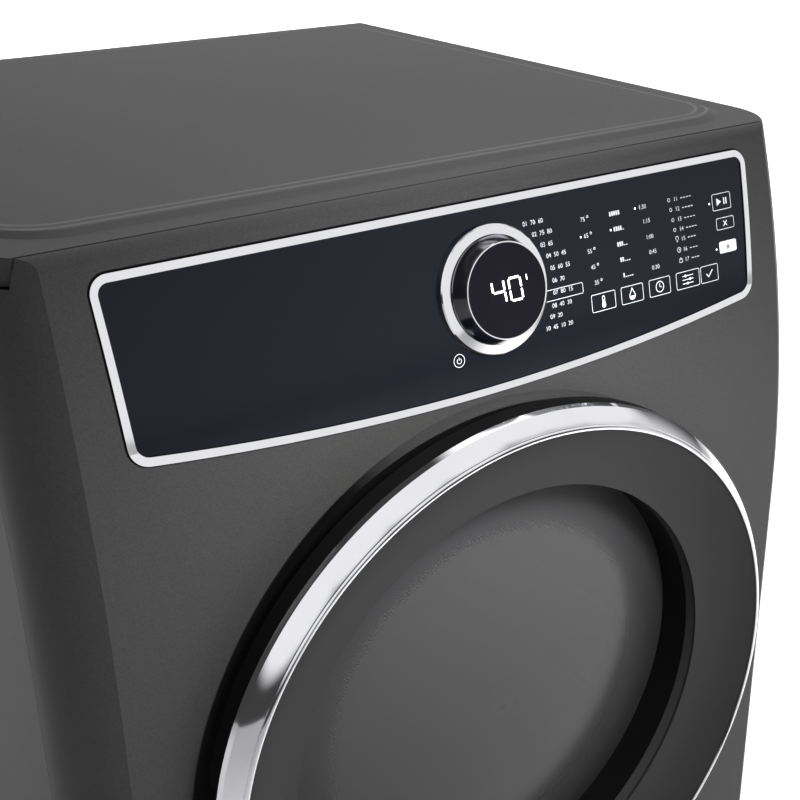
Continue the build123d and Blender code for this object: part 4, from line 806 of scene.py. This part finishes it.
class Maker:
    def __init__(self, name, inputs):
        self.tree = bpy.data.node_groups.new(name, "GeometryNodeTree")
        faces = self.tree.interface
        faces.new_socket("Geometry", in_out="INPUT", socket_type="NodeSocketGeometry")
        for label, value in inputs.items():
            faces.new_socket(label, in_out="INPUT", socket_type="NodeSocketFloat").default_value = value
        faces.new_socket("Geometry", in_out="OUTPUT", socket_type="NodeSocketGeometry")
        self.given = self.tree.nodes.new("NodeGroupInput").outputs
        self.end = self.tree.nodes.new("NodeGroupOutput")

    def node(self, kind, settings=None, sockets=None):
        made = self.tree.nodes.new(kind)
        for key, value in (settings or {}).items():
            setattr(made, key, value)
        for key, value in (sockets or {}).items():
            for each in value if isinstance(value, list) else [value]:
                if isinstance(each, bpy.types.NodeSocket):
                    self.tree.links.new(each, made.inputs[key])
                else:
                    made.inputs[key].default_value = each
        return made.outputs

    def finish(self, shape, material):
        real = self.node("GeometryNodeRealizeInstances", None, {0: shape})
        dressed = self.node("GeometryNodeSetMaterial", None, {"Geometry": real[0], "Material": material})
        self.tree.links.new(dressed[0], self.end.inputs[0])
        return self.tree


def plainPiece(name, points, edges, tree, sizes, material, body):
    seed = bpy.data.meshes.new(name + "Seed")
    seed.from_pydata([tuple(Vector(point) * mm) for point in points], edges, [])
    maker = bpy.data.objects.new(name + "Maker", seed)
    bpy.context.scene.collection.objects.link(maker)
    modifier = maker.modifiers.new("maker", "NODES")
    modifier.node_group = tree
    for item in tree.interface.items_tree:
        if item.in_out == "INPUT" and item.name in sizes:
            modifier[item.identifier] = sizes[item.name]
    bpy.context.view_layer.update()
    graph = bpy.context.evaluated_depsgraph_get()
    mesh = bpy.data.meshes.new_from_object(maker.evaluated_get(graph))
    mesh.name = name
    maker.modifiers.clear()
    bpy.data.objects.remove(maker)
    bpy.data.meshes.remove(seed)
    piece = bpy.data.objects.new(name, mesh)
    bpy.context.scene.collection.objects.link(piece)
    mesh.materials.clear()
    mesh.materials.append(material)
    for face in mesh.polygons:
        face.material_index = 0
    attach(piece, body)


# screw heads of the rear panel and the cord plate, each at its own turn
screwSizes = {"Washer": 6.2 * mm, "Head": 3.9 * mm, "Flange": 0.9 * mm, "Tall": 3.0 * mm}
screwLook = {"steel": rgb(0.45, 0.45, 0.46), "grainTurn": (0.4, 0.2, 0), "rim": 20, "corners": 6, "seed": 7,
             "slot": (1.1 * mm, 5.8 * mm, 1.6 * mm), "fullTurn": 6.28}
rearScrews = {"y": 376.5, "edgeX": 335.0, "rows": [60, 220, 390, 560, 730, 900], "alongX": [-220, -75, 75, 220],
              "low": 34.0, "high": 934.0, "plate": [(197, 166), (275, 166)], "plateY": 378.9}


def screwTree(material):
    screws = Maker("screwHeads", screwSizes)
    make, given = screws.node, screws.given
    flange = make("GeometryNodeMeshCone", None, {"Vertices": screwLook["rim"], "Radius Top": given["Head"],
                                                 "Radius Bottom": given["Washer"], "Depth": given["Flange"]})
    head = make("GeometryNodeMeshCylinder", None, {"Vertices": screwLook["corners"], "Radius": given["Head"],
                                                   "Depth": given["Tall"]})
    half = make("ShaderNodeMath", {"operation": "MULTIPLY"}, {0: given["Tall"], 1: 0.5})
    lift = make("ShaderNodeCombineXYZ", None, {"Z": half[0]})
    raised = make("GeometryNodeTransform", None, {"Geometry": head["Mesh"], "Translation": lift[0]})
    slot = make("GeometryNodeMeshCube", None, {"Size": screwLook["slot"]})
    slotLift = make("ShaderNodeCombineXYZ", None, {"Z": given["Tall"]})
    slotPlace = make("GeometryNodeTransform", None, {"Geometry": slot["Mesh"], "Translation": slotLift[0]})
    cut = make("GeometryNodeMeshBoolean", {"operation": "DIFFERENCE"}, {0: raised[0], 1: slotPlace[0]})
    whole = make("GeometryNodeJoinGeometry", None, {0: [flange["Mesh"], cut[0]]})
    turn = make("FunctionNodeRandomValue", {"data_type": "FLOAT"},
                {2: 0.0, 3: screwLook["fullTurn"], "Seed": screwLook["seed"]})
    spin = make("ShaderNodeCombineXYZ", None, {"X": -math.pi / 2, "Y": turn[1]})  # heads face the back
    spread = make("GeometryNodeInstanceOnPoints", None, {"Instance": whole[0], "Rotation": spin[0],
                                                         "Points": given["Geometry"]})
    return screws.finish(spread[0], material)


def screwPlaces():
    look = rearScrews
    flat = [(side * look["edgeX"], look["y"], z) for side in (-1, 1) for z in look["rows"]]
    flat += [(x, look["y"], z) for x in look["alongX"] for z in (look["low"], look["high"])]
    return flat + [(x, look["plateY"], z) for x, z in look["plate"]]


screwSteel = brushedSteel("screwSteel", screwLook["steel"], screwLook["grainTurn"])
plainPiece("rearScrewHeads", screwPlaces(), [], screwTree(screwSteel), screwSizes, screwSteel, "cabinet")

# woven screens inside the filter's front and rear bars
screenSizes = {"Wire": 0.26 * mm}
screenLook = {"half": 99.2, "low": 126.2, "high": 348.6, "faces": (-317.5, -302.5), "pitch": 2.3, "weave": 0.5,
              "sides": 4}


def screenTree(material):
    wires = Maker("filterWires", screenSizes)
    outline = wires.node("GeometryNodeMeshToCurve", None, {"Mesh": wires.given["Geometry"]})
    section = wires.node("GeometryNodeCurvePrimitiveCircle", None,
                         {"Resolution": screenLook["sides"], "Radius": wires.given["Wire"]})
    drawn = wires.node("GeometryNodeCurveToMesh", None,
                       {"Curve": outline[0], "Profile Curve": section[0], "Fill Caps": True})
    return wires.finish(drawn[0], material)


def screenWires():
    look = screenLook
    half, low, high, pitch = look["half"], look["low"], look["high"], look["pitch"]
    middle = sum(look["faces"]) / 2
    points = []
    for face in look["faces"]:
        for step in range(int(2 * half / pitch) + 1):
            x = -half + step * pitch
            points += [(x, face, low), (x, face, high)]
        depth = face + math.copysign(look["weave"], middle - face)  # the level wires lie on the inside
        for step in range(int((high - low) / pitch) + 1):
            z = low + step * pitch
            points += [(-half, depth, z), (half, depth, z)]
    return points, [(index, index + 1) for index in range(0, len(points), 2)]


wirePoints, wireEdges = screenWires()
plainPiece("filterScreens", wirePoints, wireEdges, screenTree(finishes["filter_grey"]), screenSizes,
           finishes["filter_grey"], "lint_filter")
print("repeated pieces done")

# bright door ring: a steep outer facet, a bulged band, a groove and a bead, turned about the door's axis
ringLook = {"outer": 267.0, "back": 28.0, "lip": 251.7, "reach": 47.0, "bulge": 0.7, "facetFoot": 265.4, "facet": 5.2,
            "bead": 4.4, "beadOut": 0.8, "groove": 0.9, "thick": 3.4, "inner": 5.4, "bandSteps": 14, "beadSteps": 10,
            "steps": 192, "crease": 14.0}


def ringProfile():  # corners as (radius, depth behind the front)
    look = ringLook
    outer = Vector((look["outer"], -look["back"]))
    lip = Vector((look["lip"], -look["reach"]))
    along = (lip - outer).normalized()
    across = Vector((-along.y, along.x))
    band = (lip - outer).length - look["bead"]
    points = [Vector((look["facetFoot"], -look["back"]))]
    for step in range(look["bandSteps"] + 1):
        length = look["facet"] + (band - look["facet"]) * step / look["bandSteps"]
        share = length / band
        points.append(outer + along * length + across * look["bulge"] * 4 * share * (1 - share))
    points.append(outer + along * (band + look["groove"] / 2) - across * look["groove"])
    start = outer + along * (band + look["groove"])
    crown = lip + along * look["beadOut"]
    end = lip + Vector((-look["thick"] / 2, look["thick"] / 2))
    for step in range(look["beadSteps"] + 1):
        t = step / look["beadSteps"]
        points.append(start * (1 - t) ** 2 + crown * 2 * t * (1 - t) + end * t * t)
    points.append(Vector((end.x, -look["reach"] + look["inner"])))
    points.append(Vector((look["outer"] - look["thick"], -look["back"])))
    return points


def turnedPiece(name, profile, steps, crease, material, body):
    made = bmesh.new()
    rows = []
    for step in range(steps):
        turn = 2 * math.pi * step / steps
        spots = [(radius * math.cos(turn), lean["faceY"] + depth, door["z"] + radius * math.sin(turn))
                 for radius, depth in profile]
        rows.append([made.verts.new(Vector(spot) * mm) for spot in spots])
    count = len(profile)
    for step in range(steps):
        here, after = rows[step], rows[(step + 1) % steps]
        for i in range(count):
            made.faces.new((here[i], here[(i + 1) % count], after[(i + 1) % count], after[i]))
    bmesh.ops.recalc_face_normals(made, faces=made.faces)
    mesh = bpy.data.meshes.new(name)
    made.to_mesh(mesh)
    made.free()
    mesh.shade_smooth()
    mesh.set_sharp_from_angle(angle=math.radians(crease))
    mesh.materials.append(material)
    piece = bpy.data.objects.new(name, mesh)
    bpy.context.scene.collection.objects.link(piece)
    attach(piece, body)
    return piece


doorRing = turnedPiece("doorRing", ringProfile(), ringLook["steps"], ringLook["crease"], finishes["bright_chrome"],
                       "door")
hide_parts("door_ring")
print("door ring done")

# studio floor
floorLook = {"half": 14.0, "dull": grey(0.80), "clean": grey(0.83), "cloud": 3.0, "rough": 0.7}


def paleFloor():
    stage = Recipe("paleFloor")
    cloud = stage.noise(stage.place(), floorLook["cloud"], detail=4.0)
    return stage.surface({"Base Color": stage.blend(cloud, floorLook["dull"], floorLook["clean"]),
                          "Roughness": floorLook["rough"]})


half = floorLook["half"]
floorMesh = bpy.data.meshes.new("studioFloor")
floorMesh.from_pydata([(-half, -half, 0), (half, -half, 0), (half, half, 0), (-half, half, 0)], [], [(0, 1, 2, 3)])
floorMesh.materials.append(paleFloor())
floor = bpy.data.objects.new("studioFloor", floorMesh)
bpy.context.scene.collection.objects.link(floor)

# studio sky: a dim shell with a low pale wall in front, glows behind and above, and a bow of glows for the door ring
skyLook = {"shade": 0.05, "tint": rgb(0.985, 0.985, 1.0), "backdrop": 0.84,
           "wall": (0.55, -0.83, 0.0), "wallEdge": (0.30, 0.78), "wallTop": (0.36, 0.24), "wallGlow": 0.86,
           "rear": (0.54, 0.74, 0.30), "rearEdge": (0.72, 0.96, 0.80),
           "high": (0.45, 0.42, 0.79), "highEdge": (0.90, 0.97, 1.4),
           "bow": [(0.80, -0.05, 0.58), (0.66, -0.14, 0.73), (0.50, -0.22, 0.84), (0.20, -0.38, 0.90),
                   (-0.12, -0.46, 0.88), (-0.45, -0.50, 0.74), (-0.74, -0.49, 0.47)],
           "bowEdge": (0.925, 0.975, 0.90)}


def studioSky():
    look = skyLook
    sky = Recipe("studioSky", True)
    toward = sky.out(sky.node("ShaderNodeTexCoord"), "Generated")

    def facing(aim):
        turned = sky.node("ShaderNodeVectorMath", {"operation": "DOT_PRODUCT"},
                          {0: toward, 1: Vector(aim).normalized()})
        return sky.out(turned, "Value")

    wall = sky.ease(facing(look["wall"]), *look["wallEdge"]) * sky.ease(sky.axes(toward)[2], *look["wallTop"])
    glows = [(look["rear"], look["rearEdge"]), (look["high"], look["highEdge"])]
    glows += [(aim, look["bowEdge"]) for aim in look["bow"]]
    glow = 0.0
    for aim, (start, full, strength) in glows:
        glow = sky.maths("MAXIMUM", glow, sky.ease(facing(aim), start, full, 0.0, strength))
    total = look["shade"] + wall * look["wallGlow"] + glow
    seen = sky.out(sky.node("ShaderNodeLightPath"), "Is Camera Ray")  # behind the floor lies a plain pale backdrop
    total = total * (1.0 - seen) + seen * look["backdrop"]
    light = sky.node("ShaderNodeBackground", None, {"Color": look["tint"], "Strength": total})
    end = sky.node("ShaderNodeOutputWorld")
    sky.tree.links.new(light.outputs[0], end.inputs[0])
    return sky.material


bpy.context.scene.world = studioSky()

# lamps: place and aim in metres, width, depth, spread in degrees and watts
lamps = {"frontPool": ((2.5, -3.3, 4.2), (2.5, -3.3, 0.0), 3.6, 4.0, 90.0, 160.0),
         "sidePool": ((3.2, 0.6, 4.2), (3.2, 0.6, 0.0), 3.0, 4.0, 90.0, 110.0),
         "rearPool": ((1.6, 7.2, 6.0), (1.6, 7.2, 0.0), 11.0, 8.0, 100.0, 900.0),
         "softKey": ((0.0, -0.95, 1.25), (0.0, -0.35, 0.70), 0.3, 0.2, 60.0, 2.4)}
for name, (spot, aim, wide, deep, spread, power) in lamps.items():
    lamp = bpy.data.lights.new(name, "AREA")
    lamp.shape = "RECTANGLE"
    lamp.size = wide
    lamp.size_y = deep
    lamp.spread = math.radians(spread)
    lamp.energy = power
    holder = bpy.data.objects.new(name, lamp)
    bpy.context.scene.collection.objects.link(holder)
    holder.location = spot
    holder.visible_glossy = False  # the lamps light the paint, and only the sky shows in the chrome
    holder.rotation_euler = (Vector(aim) - Vector(spot)).to_track_quat("-Z", "Y").to_euler()

shot = {"spot": (-0.54436, -1.06294, 1.20393), "yaw": 0.630, "pitch": 0.415, "lens": 60.165, "sensor": 36.0,
        "shiftX": -0.0842, "shiftY": -0.0042, "near": 0.05}
lens = bpy.data.cameras.new("shot")
lens.lens = shot["lens"]
lens.sensor_width = shot["sensor"]
lens.shift_x = shot["shiftX"]
lens.shift_y = shot["shiftY"]
lens.clip_start = shot["near"]
camera = bpy.data.objects.new("shot", lens)
bpy.context.scene.collection.objects.link(camera)
camera.location = shot["spot"]
camera.rotation_euler = (math.pi / 2 - shot["pitch"], 0, -shot["yaw"])
bpy.context.scene.camera = camera
bpy.context.scene.view_settings.view_transform = "Standard"

print("studio done")
